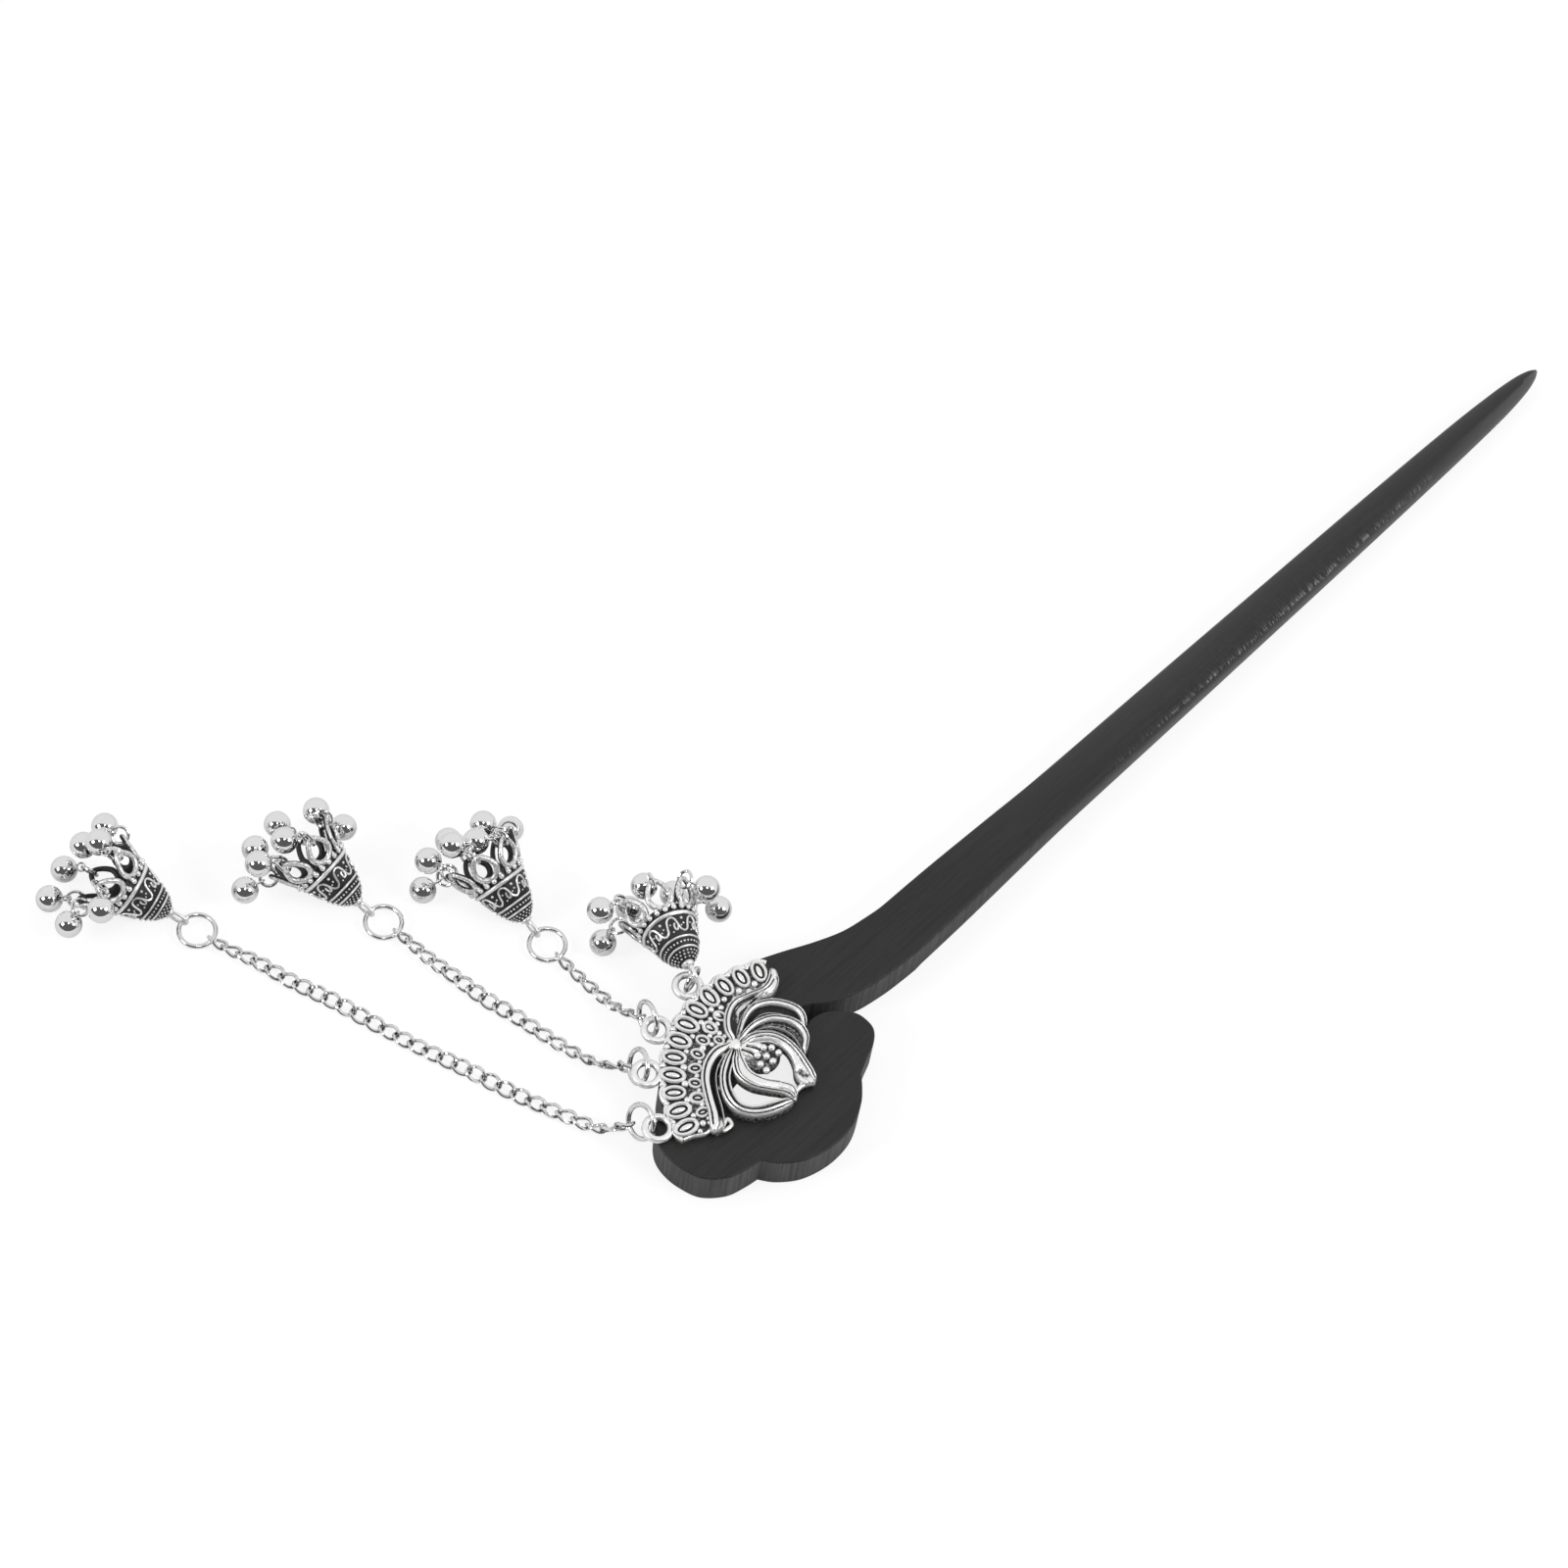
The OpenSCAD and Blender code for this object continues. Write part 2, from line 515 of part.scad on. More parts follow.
function chain_jump(k) = [4, 3, 2][k - 1];
// Wire points that the first and the last link hold, and the way the last link hangs
function chain_start(k) = let (c = end_ring_centre(k), d = chain_route(k)[0] - c)
    c + (end_r - end_wire_d / 2 - link_wire_d / 2 - link_play) * unit([d[0], d[1], 0]);
function chain_fall(k) = unit(across(chain_falls[k - 1], unit(jump_axes[chain_jump(k) - 1])));
function chain_end(k) = jump_centre(chain_jump(k))
    + (jump_r(chain_jump(k)) - jump_wire_d / 2 - link_wire_d / 2 - link_play) * chain_fall(k);
function chain_path(k) = smooth(concat([chain_start(k)], chain_route(k),
    [chain_end(k) + last_drop * chain_fall(k), chain_end(k)]), route_steps);
// Running length of a path at each of its points
function running(p, i = 1, sum = [0]) = i >= len(p) ? sum
    : running(p, i + 1, concat(sum, [sum[i - 1] + norm(p[i] - p[i - 1])]));
function link_turn(k, s, half_l, total) = lookup((s - half_l) / (total - 2 * half_l), chain_turns[k - 1]);
// Height at which a link turned by an angle rests on the surface
function link_level(turn) = link_wire_d / 2 + link_rest + link_half_w * (0.36 + 0.64 * abs(sin(turn)));
// Place at running length s: columns holds a lookup table for each of x, y and z
function along(columns, s, turn) = [lookup(s, columns[0]), lookup(s, columns[1]),
    max(lookup(s, columns[2]), link_level(turn))];

// One twisted link: its path about a centre, along u and across v and w
function link_path(c, u, v, w, half_l) = [for (i = [0 : link_stations - 1])
    let (t = 360 * i / link_stations, q = link_half_w * sin(t), turn = link_twist * cos(t))
    c + half_l * cos(t) * u + q * (cos(turn) * v + sin(turn) * w)];

module chain(k) {
    path = chain_path(k);
    lengths = running(path);
    columns = [for (axis = [0 : 2]) [for (i = [0 : len(path) - 1]) [lengths[i], path[i][axis]]]];
    total = lengths[len(lengths) - 1];
    count = round((total - link_hold) / link_pitch);
    pitch = (total - link_hold) / count;
    half_l = (pitch + link_hold) / 2;
    color([0.78, 0.78, 0.78])
        for (i = [0 : count - 1])
            let (s = half_l + i * pitch,
                places = [for (d = [-1, -0.8, 0, 0.8, 1] * half_l)
                    along(columns, s + d, link_turn(k, s + d, half_l, total))],
                c = (places[0] + 2 * places[2] + places[4]) / 4,
                u = unit(places[3] - places[1]),
                side = unit(cross([0, 0, 1], u)),
                up = cross(u, side),
                turn = link_turn(k, s, half_l, total),
                v = cos(turn) * side + sin(turn) * up)
            closed_wire(link_path(c, u, v, cross(u, v), half_l), c, link_wire_d / 2, link_sides);
}

stick();
lotus_mount();
jump_ring(1);  // jump_ring_1
jump_ring(2);  // jump_ring_2
jump_ring(3);  // jump_ring_3
jump_ring(4);  // jump_ring_4
chain(1);  // chain_1
chain(2);  // chain_2
chain(3);  // chain_3
end_ring(1);  // end_ring_1
end_ring(2);  // end_ring_2
end_ring(3);  // end_ring_3
bell(1);  // bell_1
bell(2);  // bell_2
bell(3);  // bell_3
bell(4);  // bell_4
drop_rings(1);  // drop_rings_1
drop_rings(2);  // drop_rings_2
drop_rings(3);  // drop_rings_3
drop_rings(4);  // drop_rings_4
balls(1);  // balls_1
balls(2);  // balls_2
balls(3);  // balls_3
balls(4);  // balls_4
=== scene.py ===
# %% [markdown]
# # A hair stick with a lotus mount, chains and bell drops
# The stick is one flat piece of black wood whose head is sawn as a curling cloud. A
# silver-coloured casting of a lotus over a fan lies on the head. Three twisted chains
# and one small ring hang from its loops, and each carries a bell cap with seven balls.
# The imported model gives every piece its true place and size. This script dresses each
# piece in a finer mesh at the same place, and gives it its finish.

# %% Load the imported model
import random
from math import cos, exp, hypot, pi, radians, sin, sqrt

import bmesh
import bpy
from mathutils import Matrix, Vector
from mathutils.bvhtree import BVHTree


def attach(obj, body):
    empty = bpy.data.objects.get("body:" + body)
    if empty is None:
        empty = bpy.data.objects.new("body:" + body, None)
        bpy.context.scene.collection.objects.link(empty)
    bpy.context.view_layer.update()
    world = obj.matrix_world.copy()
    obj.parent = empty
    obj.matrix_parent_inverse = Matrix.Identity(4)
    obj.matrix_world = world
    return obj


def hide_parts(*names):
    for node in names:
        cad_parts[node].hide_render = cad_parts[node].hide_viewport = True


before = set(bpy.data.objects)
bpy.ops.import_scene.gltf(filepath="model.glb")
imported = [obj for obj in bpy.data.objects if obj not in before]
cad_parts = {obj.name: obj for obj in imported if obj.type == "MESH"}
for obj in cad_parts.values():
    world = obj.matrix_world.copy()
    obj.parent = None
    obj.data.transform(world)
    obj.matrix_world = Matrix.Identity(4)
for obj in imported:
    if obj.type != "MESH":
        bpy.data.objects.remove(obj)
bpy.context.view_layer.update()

MM = 0.001
UP = Vector((0, 0, 1))
ORIGIN = Vector((0, 0, 0))
shift = Matrix.Translation

# %% [markdown]
# ## Camera
# The camera comes first. It stands high on the near left of the head and is rolled by ten
# degrees, so the stick crosses the frame from the lower left to the upper right. A long lens
# keeps the far point of the stick nearly as large as its head. The length of the lens and
# the sensor are real ones, so that the frame can be checked with a tape measure.

# %% The camera
camera_at = Vector((-258.12, -157.16, 520.70)) * MM
looks_at = Vector((8.735, 29.0, 0)) * MM
camera_roll = radians(10)

back = (camera_at - looks_at).normalized()
level = UP.cross(back).normalized()
upright = back.cross(level)
right = level * cos(camera_roll) + upright * sin(camera_roll)
up = upright * cos(camera_roll) - level * sin(camera_roll)

lens = bpy.data.cameras.new("camera")
lens.lens = 100
lens.sensor_width = 36
camera = bpy.data.objects.new("camera", lens)
camera.matrix_world = Matrix.Translation(camera_at) @ Matrix((right, up, back)).transposed().to_4x4()
bpy.context.scene.collection.objects.link(camera)
bpy.context.scene.camera = camera
print("camera stands", round((camera_at - looks_at).length, 3), "m away")

# %% [markdown]
# ## Node helpers
# The floor, the room and the finishes are small trees of nodes. These helpers add a node,
# fill its inputs and hand back its output, so that each tree reads as a list of steps.

# %% Node helpers
def fill(tree, sockets, values):
    """Links each socket to another node's output, or sets it to a plain value."""
    for socket, value in zip(sockets, values):
        if isinstance(value, bpy.types.NodeSocket):
            tree.links.new(value, socket)
        else:
            socket.default_value = (*value, 1) if socket.type == "RGBA" else value


def feed(tree, to, **values):
    """Fills a node's inputs by their names."""
    fill(tree, [to.inputs[label.replace("_", " ")] for label in values], values.values())
    return to


def node(tree, kind, **values):
    """A new node, with some of its inputs filled in."""
    return feed(tree, tree.nodes.new("ShaderNode" + kind), **values)


def math_node(tree, operation, *operands, clamp=False):
    new = node(tree, "Math")
    new.operation = operation
    new.use_clamp = clamp
    fill(tree, new.inputs, operands)
    return new.outputs[0]


def scaled_sum(tree, a, b, c):
    """The first times the second, plus the third."""
    return math_node(tree, "MULTIPLY_ADD", a, b, c)


def seen_or_lit(tree, share, lit, seen, output):
    """Shows one shader to the camera, up to a share, and another to the object."""
    mix = node(tree, "MixShader")
    part = math_node(tree, "MULTIPLY", node(tree, "LightPath").outputs["Is Camera Ray"], share)
    fill(tree, mix.inputs, (part, lit.outputs[0], seen.outputs[0]))
    node(tree, output, Surface=mix.outputs[0])


print("node helpers ready")

# %% [markdown]
# ## Floor and light
# Polished metal shows the room more than itself. In an all white room it would vanish,
# so the room is white only overhead and behind the object, and dark on the camera's side,
# where three soft lamps stand. The balls then get a pale cap, a dark band and a few hot
# spots. The floor is a light table: it glows white to the eye, so no hard shadow lies
# under the thin chains, but metal and wood see a plain pale grey floor.

# %% The floor, a light table
def new_object(name, data):
    thing = bpy.data.objects.new(name, data)
    bpy.context.scene.collection.objects.link(thing)
    return thing


bpy.context.scene.view_settings.view_transform = "Standard"
floor_half = 3.0
floor_drop = 0.02 * MM
table_glow = 1.14
glow_share = 0.72
sheet = bmesh.new()
bmesh.ops.create_grid(sheet, x_segments=1, y_segments=1, size=floor_half)
bmesh.ops.translate(sheet, vec=(0, 0, -floor_drop), verts=sheet.verts)
floor_mesh = bpy.data.meshes.new("floor")
sheet.to_mesh(floor_mesh)
sheet.free()
new_object("floor", floor_mesh)

floor_paint = bpy.data.materials.new("light_table")
floor_paint.use_nodes = True
table = floor_paint.node_tree
table.nodes.clear()
seen_or_lit(table, glow_share, node(table, "BsdfDiffuse", Color=(0.8, 0.8, 0.8)),
            node(table, "Emission", Color=(1, 1, 1), Strength=table_glow), "OutputMaterial")
floor_mesh.materials.append(floor_paint)
print("floor nodes:", len(table.nodes))

# %% Three soft lamps on the camera's side
# Each is square. It has its turns aside and up from the camera's direction, distance and size.
radiance = 10
lamps = [("left_lamp", -46, 2, 1.0, 0.3), ("right_lamp", 46, 2, 1.0, 0.3), ("middle_lamp", 4, 9, 0.9, 0.14)]
for name, side_turn, rise, distance, size in lamps:
    way = back.copy()
    way.rotate(Matrix.Rotation(radians(-rise), 3, right))
    way.rotate(Matrix.Rotation(radians(side_turn), 3, up))
    light = bpy.data.lights.new(name, "AREA")
    light.shape = "SQUARE"
    light.size = size
    light.energy = radiance * pi * size * size
    lamp = new_object(name, light)
    lamp.location = looks_at + way * distance
    lamp.rotation_euler = (-way).to_track_quat("-Z", "Y").to_euler()
print("lamps:", len(lamps))

# %% The room: white overhead and behind, dark on the camera's side
white_side = 1.02
dark_side = 0.13
near = Vector((back.x, back.y, 0)).normalized()
edge_at, edge_soft = 0.2, 0.03
world = bpy.data.worlds.new("studio")
world.use_nodes = True
bpy.context.scene.world = world
room = world.node_tree
room.nodes.clear()
towards = node(room, "VectorMath")
towards.operation = "DOT_PRODUCT"
fill(room, towards.inputs, (node(room, "TexCoord").outputs["Generated"], near))
fade = node(room, "MapRange", Value=towards.outputs["Value"], From_Min=edge_at - edge_soft,
            From_Max=edge_at + edge_soft, To_Min=white_side, To_Max=dark_side)
seen_or_lit(room, 1.0, node(room, "Background", Strength=fade.outputs["Result"]),
            node(room, "Background", Color=(1, 1, 1)), "OutputWorld")

# %% [markdown]
# ## Curves and wires
# Everything but the wood is cast or bent from round wire, so most pieces are a small
# profile carried along a path. The profile is drawn once and extruded from place to
# place. A shape that repeats, such as a link or a granule, is made once as a template
# and stamped where it is needed. Shapes are drawn in millimetres, because that is how
# the parts are measured, and turned into metres when a piece is finished.

# %% Helpers for numbers and curves
def clamped(x):
    return min(1, max(0, x))


def across(v, n):
    """The part of v that is square to the unit vector n."""
    return v - n * v.dot(n)


def curve_at(a, b, c, d, t):
    """A point of the Catmull-Rom curve between b and c."""
    return 0.5 * (2 * b + (c - a) * t + (2 * a - 5 * b + 4 * c - d) * t * t
                  + (3 * b - a - 3 * c + d) * t * t * t)


def smooth(points, steps):
    """Points of a smooth curve through the given ones."""
    p = [Vector(q) for q in points]
    last = len(p) - 1
    fine = [curve_at(p[max(i - 1, 0)], p[i], p[i + 1], p[min(i + 2, last)], k / steps)
            for i in range(last) for k in range(steps)]
    return fine + [p[last]]


def lookup(x, table):
    """The value at x in a table of pairs, straight between its rows."""
    if x <= table[0][0]:
        return table[0][1]
    for (x0, y0), (x1, y1) in zip(table, table[1:]):
        if x <= x1:
            return y0 + (y1 - y0) * (x - x0) / (x1 - x0)
    return table[-1][1]


def measured(path):
    """The length of a path, and a function that gives the place at a length along it."""
    run = [0.0]
    for a, b in zip(path, path[1:]):
        run.append(run[-1] + (b - a).length)
    columns = [list(zip(run, column)) for column in zip(*path)]
    return run[-1], lambda s: Vector([lookup(s, column) for column in columns])


def full_turn(steps):
    return [2 * pi * i / steps for i in range(steps)]


def oval_path(half_l, half_w, steps):
    return [Vector((half_l * cos(t), half_w * sin(t), 0)) for t in full_turn(steps)]


def spin(degrees, axis="Z"):
    return Matrix.Rotation(radians(degrees), 4, axis)


def scaled(*sizes):
    return Matrix.Diagonal((*sizes, 1))


def stand(at, along, side, size=1.0):
    """A matrix that stands a profile at a point, with Z along the path and X to the side."""
    z = along.normalized()
    x = across(side, z).normalized()
    return shift(at) @ Matrix((x, z.cross(x), z)).transposed().to_4x4() @ scaled(size, size, 1)


def stands(path, centre=None, closed=False, sizes=None):
    """Stands along a path, each with its side away from the centre or towards +Z."""
    last = len(path) - 1
    places = []
    for i, at in enumerate(path):
        if closed:
            way = path[(i + 1) % (last + 1)] - path[i - 1]
        else:
            way = path[min(i + 1, last)] - path[max(i - 1, 0)]
        places.append(stand(at, way, UP if centre is None else at - centre, sizes[i] if sizes else 1.0))
    return places


# %% Helpers for shapes
def template(bm, name):
    """Turns a small closed shape into a mesh that can be stamped."""
    bmesh.ops.recalc_face_normals(bm, faces=bm.faces)
    mesh = bpy.data.meshes.new(name)
    bm.to_mesh(mesh)
    bm.free()
    return mesh


def new_ones(geom, kind=bmesh.types.BMVert):
    """The corners, or the open edges, among what an operator made."""
    return [g for g in geom if isinstance(g, kind) and (kind is bmesh.types.BMVert or g.is_boundary)]


def swept(name, places, radii, sides, closed=False):
    """A wire with an oval profile, extruded from place to place."""
    bm = bmesh.new()
    oval = places[0] @ scaled(*radii, 1)
    ring = bmesh.ops.create_circle(bm, segments=sides, radius=1, matrix=oval)["verts"]
    edges = list(dict.fromkeys(e for v in ring for e in v.link_edges))
    first = edges
    for here, there in zip(places, places[1:] + (places[:1] if closed else [])):
        new = bmesh.ops.extrude_edge_only(bm, edges=edges)["geom"]
        edges = new_ones(new, bmesh.types.BMEdge)
        bmesh.ops.transform(bm, matrix=there @ here.inverted(), verts=new_ones(new))
    if closed:
        bmesh.ops.remove_doubles(bm, verts=bm.verts, dist=0.0005)
    else:
        bmesh.ops.holes_fill(bm, edges=first + edges, sides=0)
    return template(bm, name)


def looped(name, path, radii, sides, sizes=None):
    """A wire swept along a closed path about the origin."""
    return swept(name, stands(path, ORIGIN, True, sizes), radii, sides, True)


def split_ring(outer_d, wire_d, slit, steps=44, sides=12):
    """A round ring bent from wire, whose two cut ends nearly meet."""
    r = (outer_d - wire_d) / 2
    gap = slit / r
    turns = [gap / 2 + (2 * pi - gap) * i / steps for i in range(steps + 1)]
    places = [stand(Vector((r * cos(t), r * sin(t), 0)), Vector((-sin(t), cos(t), 0)),
                    Vector((cos(t), sin(t), 0))) for t in turns]
    return swept("split_ring", places, (wire_d / 2, wire_d / 2), sides)


def thick_sheet(bm, outline, thickness):
    """A flat face through the points of an outline, extruded upwards."""
    face = bm.faces.new([bm.verts.new(p) for p in outline])
    top = bmesh.ops.extrude_face_region(bm, geom=[face])["geom"]
    bmesh.ops.translate(bm, vec=(0, 0, thickness), verts=new_ones(top))
    bmesh.ops.recalc_face_normals(bm, faces=bm.faces)


def lump(bm, half_sizes, at=(0, 0, 0), turn=0, fine=(20, 12)):
    """A smooth egg of three half sizes, turned about Z."""
    bmesh.ops.create_uvsphere(bm, u_segments=fine[0], v_segments=fine[1], radius=1,
                              matrix=shift(at) @ spin(turn) @ scaled(*half_sizes))
    return bm


def granule(bm, at, radius, fine=2, within=Matrix.Identity(4)):
    bmesh.ops.create_icosphere(bm, subdivisions=fine, radius=radius, matrix=within @ shift(at))


def stamp(bm, mesh, matrix=Matrix.Identity(4)):
    """Adds a copy of a template to a piece, moved to its place."""
    before = len(bm.verts)
    bm.from_mesh(mesh)
    bm.verts.ensure_lookup_table()
    bmesh.ops.transform(bm, matrix=matrix, verts=bm.verts[before:])


def blacken(bm, level):
    """Writes how much of the black bath a shape keeps, from 0 to 1, by its points' places."""
    layer = bm.verts.layers.float.get("patina") or bm.verts.layers.float.new("patina")
    for v in bm.verts:
        v[layer] = level(v.co)


def aged(mesh, level):
    """The same template, with the black that it keeps written on it."""
    bm = bmesh.new()
    bm.from_mesh(mesh)
    blacken(bm, level)
    return template(bm, mesh.name + "_aged")


def finish_piece(bm, name, node, material, crease=35, rays=0):
    """Turns a drawn piece into an object in metres that stands for its node, and finds its grooves."""
    bmesh.ops.scale(bm, vec=(MM, MM, MM), verts=bm.verts)
    mesh = bpy.data.meshes.new(name)
    bm.to_mesh(mesh)
    bm.free()
    mesh.shade_smooth()
    mesh.set_sharp_from_angle(angle=radians(crease))
    mesh.materials.append(material)
    piece = new_object(name, mesh)
    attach(piece, "root")
    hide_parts(node)
    if rays:
        mark_shelter(piece, rays)
    return piece


print("helpers ready")

# %% [markdown]
# ## Where the patina stays
# Antiqued silver is dipped in a black bath and then wiped. The cloth cleans what stands
# proud and leaves the black in every groove. So the finish needs to know how sheltered
# each point of the casting is. Short rays are sent out from every point, and the share
# that strikes the piece itself nearby is stored on the mesh as an attribute. Webs and
# bands that were left black on purpose already carry a value of their own.

# %% Measure how sheltered each point of a casting is
# The rays fill a share of the half sphere and start a little off the skin. A far hit counts less.
golden_turn = pi * (3 - sqrt(5))
sky_share = 0.96
ray_lift = 0.015
far_loss = 0.6


def sky_rays(count):
    """Directions spread over the half sphere about +Z, closer together near +Z."""
    rays = []
    for i in range(count):
        height = sqrt(1 - (i + 0.5) / count * sky_share)
        ring = sqrt(1 - height * height)
        rays.append(Vector((ring * cos(golden_turn * i), ring * sin(golden_turn * i), height)))
    return rays


def mark_shelter(piece, count, reach=0.9 * MM):
    """Writes the attribute sheltered: 0 on open metal, up to 1 deep in a groove."""
    mesh = piece.data
    bm = bmesh.new()
    bm.from_mesh(mesh)
    bm.normal_update()
    tree = BVHTree.FromBMesh(bm)
    rays = sky_rays(count)
    found = []
    for v in bm.verts:
        facing = v.normal.to_track_quat("Z", "Y")
        start = v.co + v.normal * ray_lift * MM
        closed = 0.0
        for ray in rays:
            hit = tree.ray_cast(start, facing @ ray, reach)
            if hit[0] is not None:
                closed += 1 - far_loss * hit[3] / reach
        found.append(closed / count)
    bm.free()
    if "patina" in mesh.attributes:
        kept = [0.0] * len(found)
        mesh.attributes["patina"].data.foreach_get("value", kept)
        found = [max(a, b) for a, b in zip(found, kept)]
    layer = mesh.attributes.new("sheltered", "FLOAT", "POINT")
    layer.data.foreach_set("value", found)
    print(piece.name, "points", len(found), "mean shelter", round(sum(found) / len(found), 3))


# %% [markdown]
# ## Finishes
# There are four: black wood, antiqued silver, silver wire and bright silver. The small
# unevenness of cast and tumbled metal is one shared node group. It puts out masks and
# heights only, and the shader itself stays in each material.

# %% Helpers for finishes
def ramp(tree, value, *stops):
    """A colour ramp, whose stops are places with grey levels."""
    new = node(tree, "ValToRGB", Fac=value)
    elements = new.color_ramp.elements
    while len(elements) < len(stops):
        elements.new(0.5)
    for element, (place, tone) in zip(elements, stops):
        element.position = place
        element.color = (tone, tone, tone, 1)
    return new.outputs["Color"]


def noise(tree, spot, scale, detail, roughness=0.55):
    """A noise texture. A scale of three numbers stretches it by a different amount each way."""
    if isinstance(scale, tuple):
        spot = node(tree, "Mapping", Vector=spot, Scale=scale).outputs["Vector"]
        scale = 1.0
    return node(tree, "TexNoise", Vector=spot, Scale=scale, Detail=detail, Roughness=roughness).outputs["Fac"]


def mixed(tree, factor, low, high):
    """A colour between two colours or outputs."""
    new = node(tree, "Mix")
    new.data_type = "RGBA"
    fill(tree, (new.inputs[0], new.inputs[6], new.inputs[7]), (factor, low, high))
    return new.outputs[2]


def stored(tree, name):
    """A value that is stored on the mesh's points."""
    new = node(tree, "Attribute")
    new.attribute_name = name
    return new.outputs["Fac"]


def bumped(tree, height, distance):
    return node(tree, "Bump", Height=height, Distance=distance, Strength=1.0).outputs["Normal"]


def new_finish(name):
    material = bpy.data.materials.new(name)
    material.use_nodes = True
    return material, material.node_tree, material.node_tree.nodes["Principled BSDF"]


# %% The shared group for worked metal
worked = bpy.data.node_groups.new("worked_metal", "ShaderNodeTree")
for label, value in (("Grain size", 0.4), ("Wipe", 0.5)):
    socket = worked.interface.new_socket(name=label, in_out="INPUT", socket_type="NodeSocketFloat")
    socket.default_value = value
for label in ("Unevenness", "Smears"):
    worked.interface.new_socket(name=label, in_out="OUTPUT", socket_type="NodeSocketFloat")
given = worked.nodes.new("NodeGroupInput").outputs
spot = node(worked, "TexCoord").outputs["Object"]
per_grain = math_node(worked, "DIVIDE", 1000.0, given["Grain size"])
feed(worked, worked.nodes.new("NodeGroupOutput"),
     Unevenness=noise(worked, spot, per_grain, 4.0, 0.6),
     Smears=math_node(worked, "MULTIPLY", noise(worked, spot, 260.0, 2.0), given["Wipe"]))


def worked_skin(tree, grain, wipe):
    """The shared group in a material: its unevenness and its smears."""
    new = node(tree, "Group")
    new.node_tree = worked
    feed(tree, new, Grain_size=grain, Wipe=wipe)
    return new.outputs["Unevenness"], new.outputs["Smears"]


print("group:", worked.name)

# %% Antiqued silver for the casting and the bells
aged_silver, tree, shader = new_finish("aged_silver")
uneven, smears = worked_skin(tree, 0.35, 0.3)
depth = math_node(tree, "ADD", stored(tree, "sheltered"), scaled_sum(tree, uneven, 0.9, -0.45))
patina = ramp(tree, depth, (0.32, 0.0), (0.46, 0.35), (0.66, 1.0))
dull = scaled_sum(tree, patina, 0.18, 0.27)
feed(tree, shader,
     Base_Color=mixed(tree, patina, (0.96, 0.96, 0.955), (0.036, 0.036, 0.038)),
     Metallic=scaled_sum(tree, patina, -0.24, 0.76),
     Roughness=scaled_sum(tree, smears, 0.3, dull),
     Normal=bumped(tree, uneven, 0.045 * MM))

# %% Bright silver for the balls
bright_silver, tree, shader = new_finish("bright_silver")
uneven, smears = worked_skin(tree, 0.9, 0.4)
feed(tree, shader,
     Base_Color=mixed(tree, smears, (0.9, 0.9, 0.9), (0.81, 0.81, 0.82)),
     Metallic=1.0,
     Roughness=scaled_sum(tree, uneven, 0.1, 0.03),
     Normal=bumped(tree, uneven, 0.006 * MM))

# %% Silver wire for the chains and rings, with painted shade where one wire hides another
wire_silver, tree, shader = new_finish("wire_silver")
uneven, smears = worked_skin(tree, 0.5, 0.4)
# Painted shade: the wire is darkened where its sheltered value says another wire hides it.
hidden = math_node(tree, "ADD", stored(tree, "sheltered"), -0.25)
painted_contact_shade = ramp(tree, scaled_sum(tree, uneven, 0.5, hidden), (0.05, 0.0), (0.5, 1.0))
feed(tree, shader,
     Base_Color=mixed(tree, painted_contact_shade, (0.8, 0.8, 0.8), (0.16, 0.16, 0.165)),
     Metallic=1.0,
     Roughness=scaled_sum(tree, uneven, 0.16, 0.06),
     Normal=bumped(tree, uneven, 0.012 * MM))

# %% Black wood, with a painted sheen on its top and a painted reflection low on its near side
black_wood, tree, shader = new_finish("black_wood")
spot = node(tree, "TexCoord").outputs["Object"]
fibres = noise(tree, spot, (110, 2600, 2600), 5.0, 0.6)
bands = noise(tree, spot, (14, 330, 330), 3.0, 0.5)
pores = ramp(tree, noise(tree, spot, (420, 5200, 5200), 1.0, 0.5), (0.64, 0.0), (0.72, 0.7))
saw_marks = noise(tree, spot, (2600, 2600, 60), 3.0, 0.6)
chatter = noise(tree, spot, (3200, 700, 700), 2.0, 0.6)
sawn, scuffed, painted_sheen, painted_underside_reflection = [stored(tree, name) for name in ("sawn", "scuffed", "painted_sheen", "painted_underside_reflection")]

fibre_mask = ramp(tree, fibres, (0.3, 0.0), (0.75, 1.0))
band_mask = ramp(tree, bands, (0.4, 0.0), (0.7, 0.5))
saw_mask = ramp(tree, saw_marks, (0.35, 0.0), (0.7, 1.0))
# Painted sheen: lighter patches on the top, towards its far side and along the shank.
patchy_painted_sheen = math_node(tree, "MULTIPLY", painted_sheen, math_node(tree, "MULTIPLY_ADD", bands, 0.8, 0.4, clamp=True))
scuffs = math_node(tree, "MULTIPLY", ramp(tree, chatter, (0.5, 0.0), (0.62, 1.0)), scuffed)
side_tone = mixed(tree, saw_mask, (0.028, 0.028, 0.028), (0.085, 0.084, 0.083))
tone = mixed(tree, fibre_mask, (0.009, 0.0089, 0.0087), (0.022, 0.0216, 0.0212))
# The light grey for the underside is a painted reflection of the table, and the sheen colour is a painted
# sheen.
for mask, colour in ((band_mask, (0.02, 0.0195, 0.019)), (pores, (0.006, 0.006, 0.006)), (sawn, side_tone),
                     (patchy_painted_sheen, (0.052, 0.0515, 0.051)), (painted_underside_reflection, (0.19, 0.188, 0.186)),
                     (scuffs, (0.3, 0.295, 0.29))):
    tone = mixed(tree, mask, tone, colour)

relief = scaled_sum(tree, pores, -0.5, math_node(tree, "MULTIPLY", fibres, 0.6))
relief = scaled_sum(tree, math_node(tree, "MULTIPLY", saw_marks, sawn), 1.2, relief)
feed(tree, shader, Base_Color=tone, Specular_IOR_Level=0.38, Normal=bumped(tree, relief, 0.05 * MM),
     Roughness=scaled_sum(tree, fibres, 0.16, 0.42))
print("finishes:", [m.name for m in bpy.data.materials])

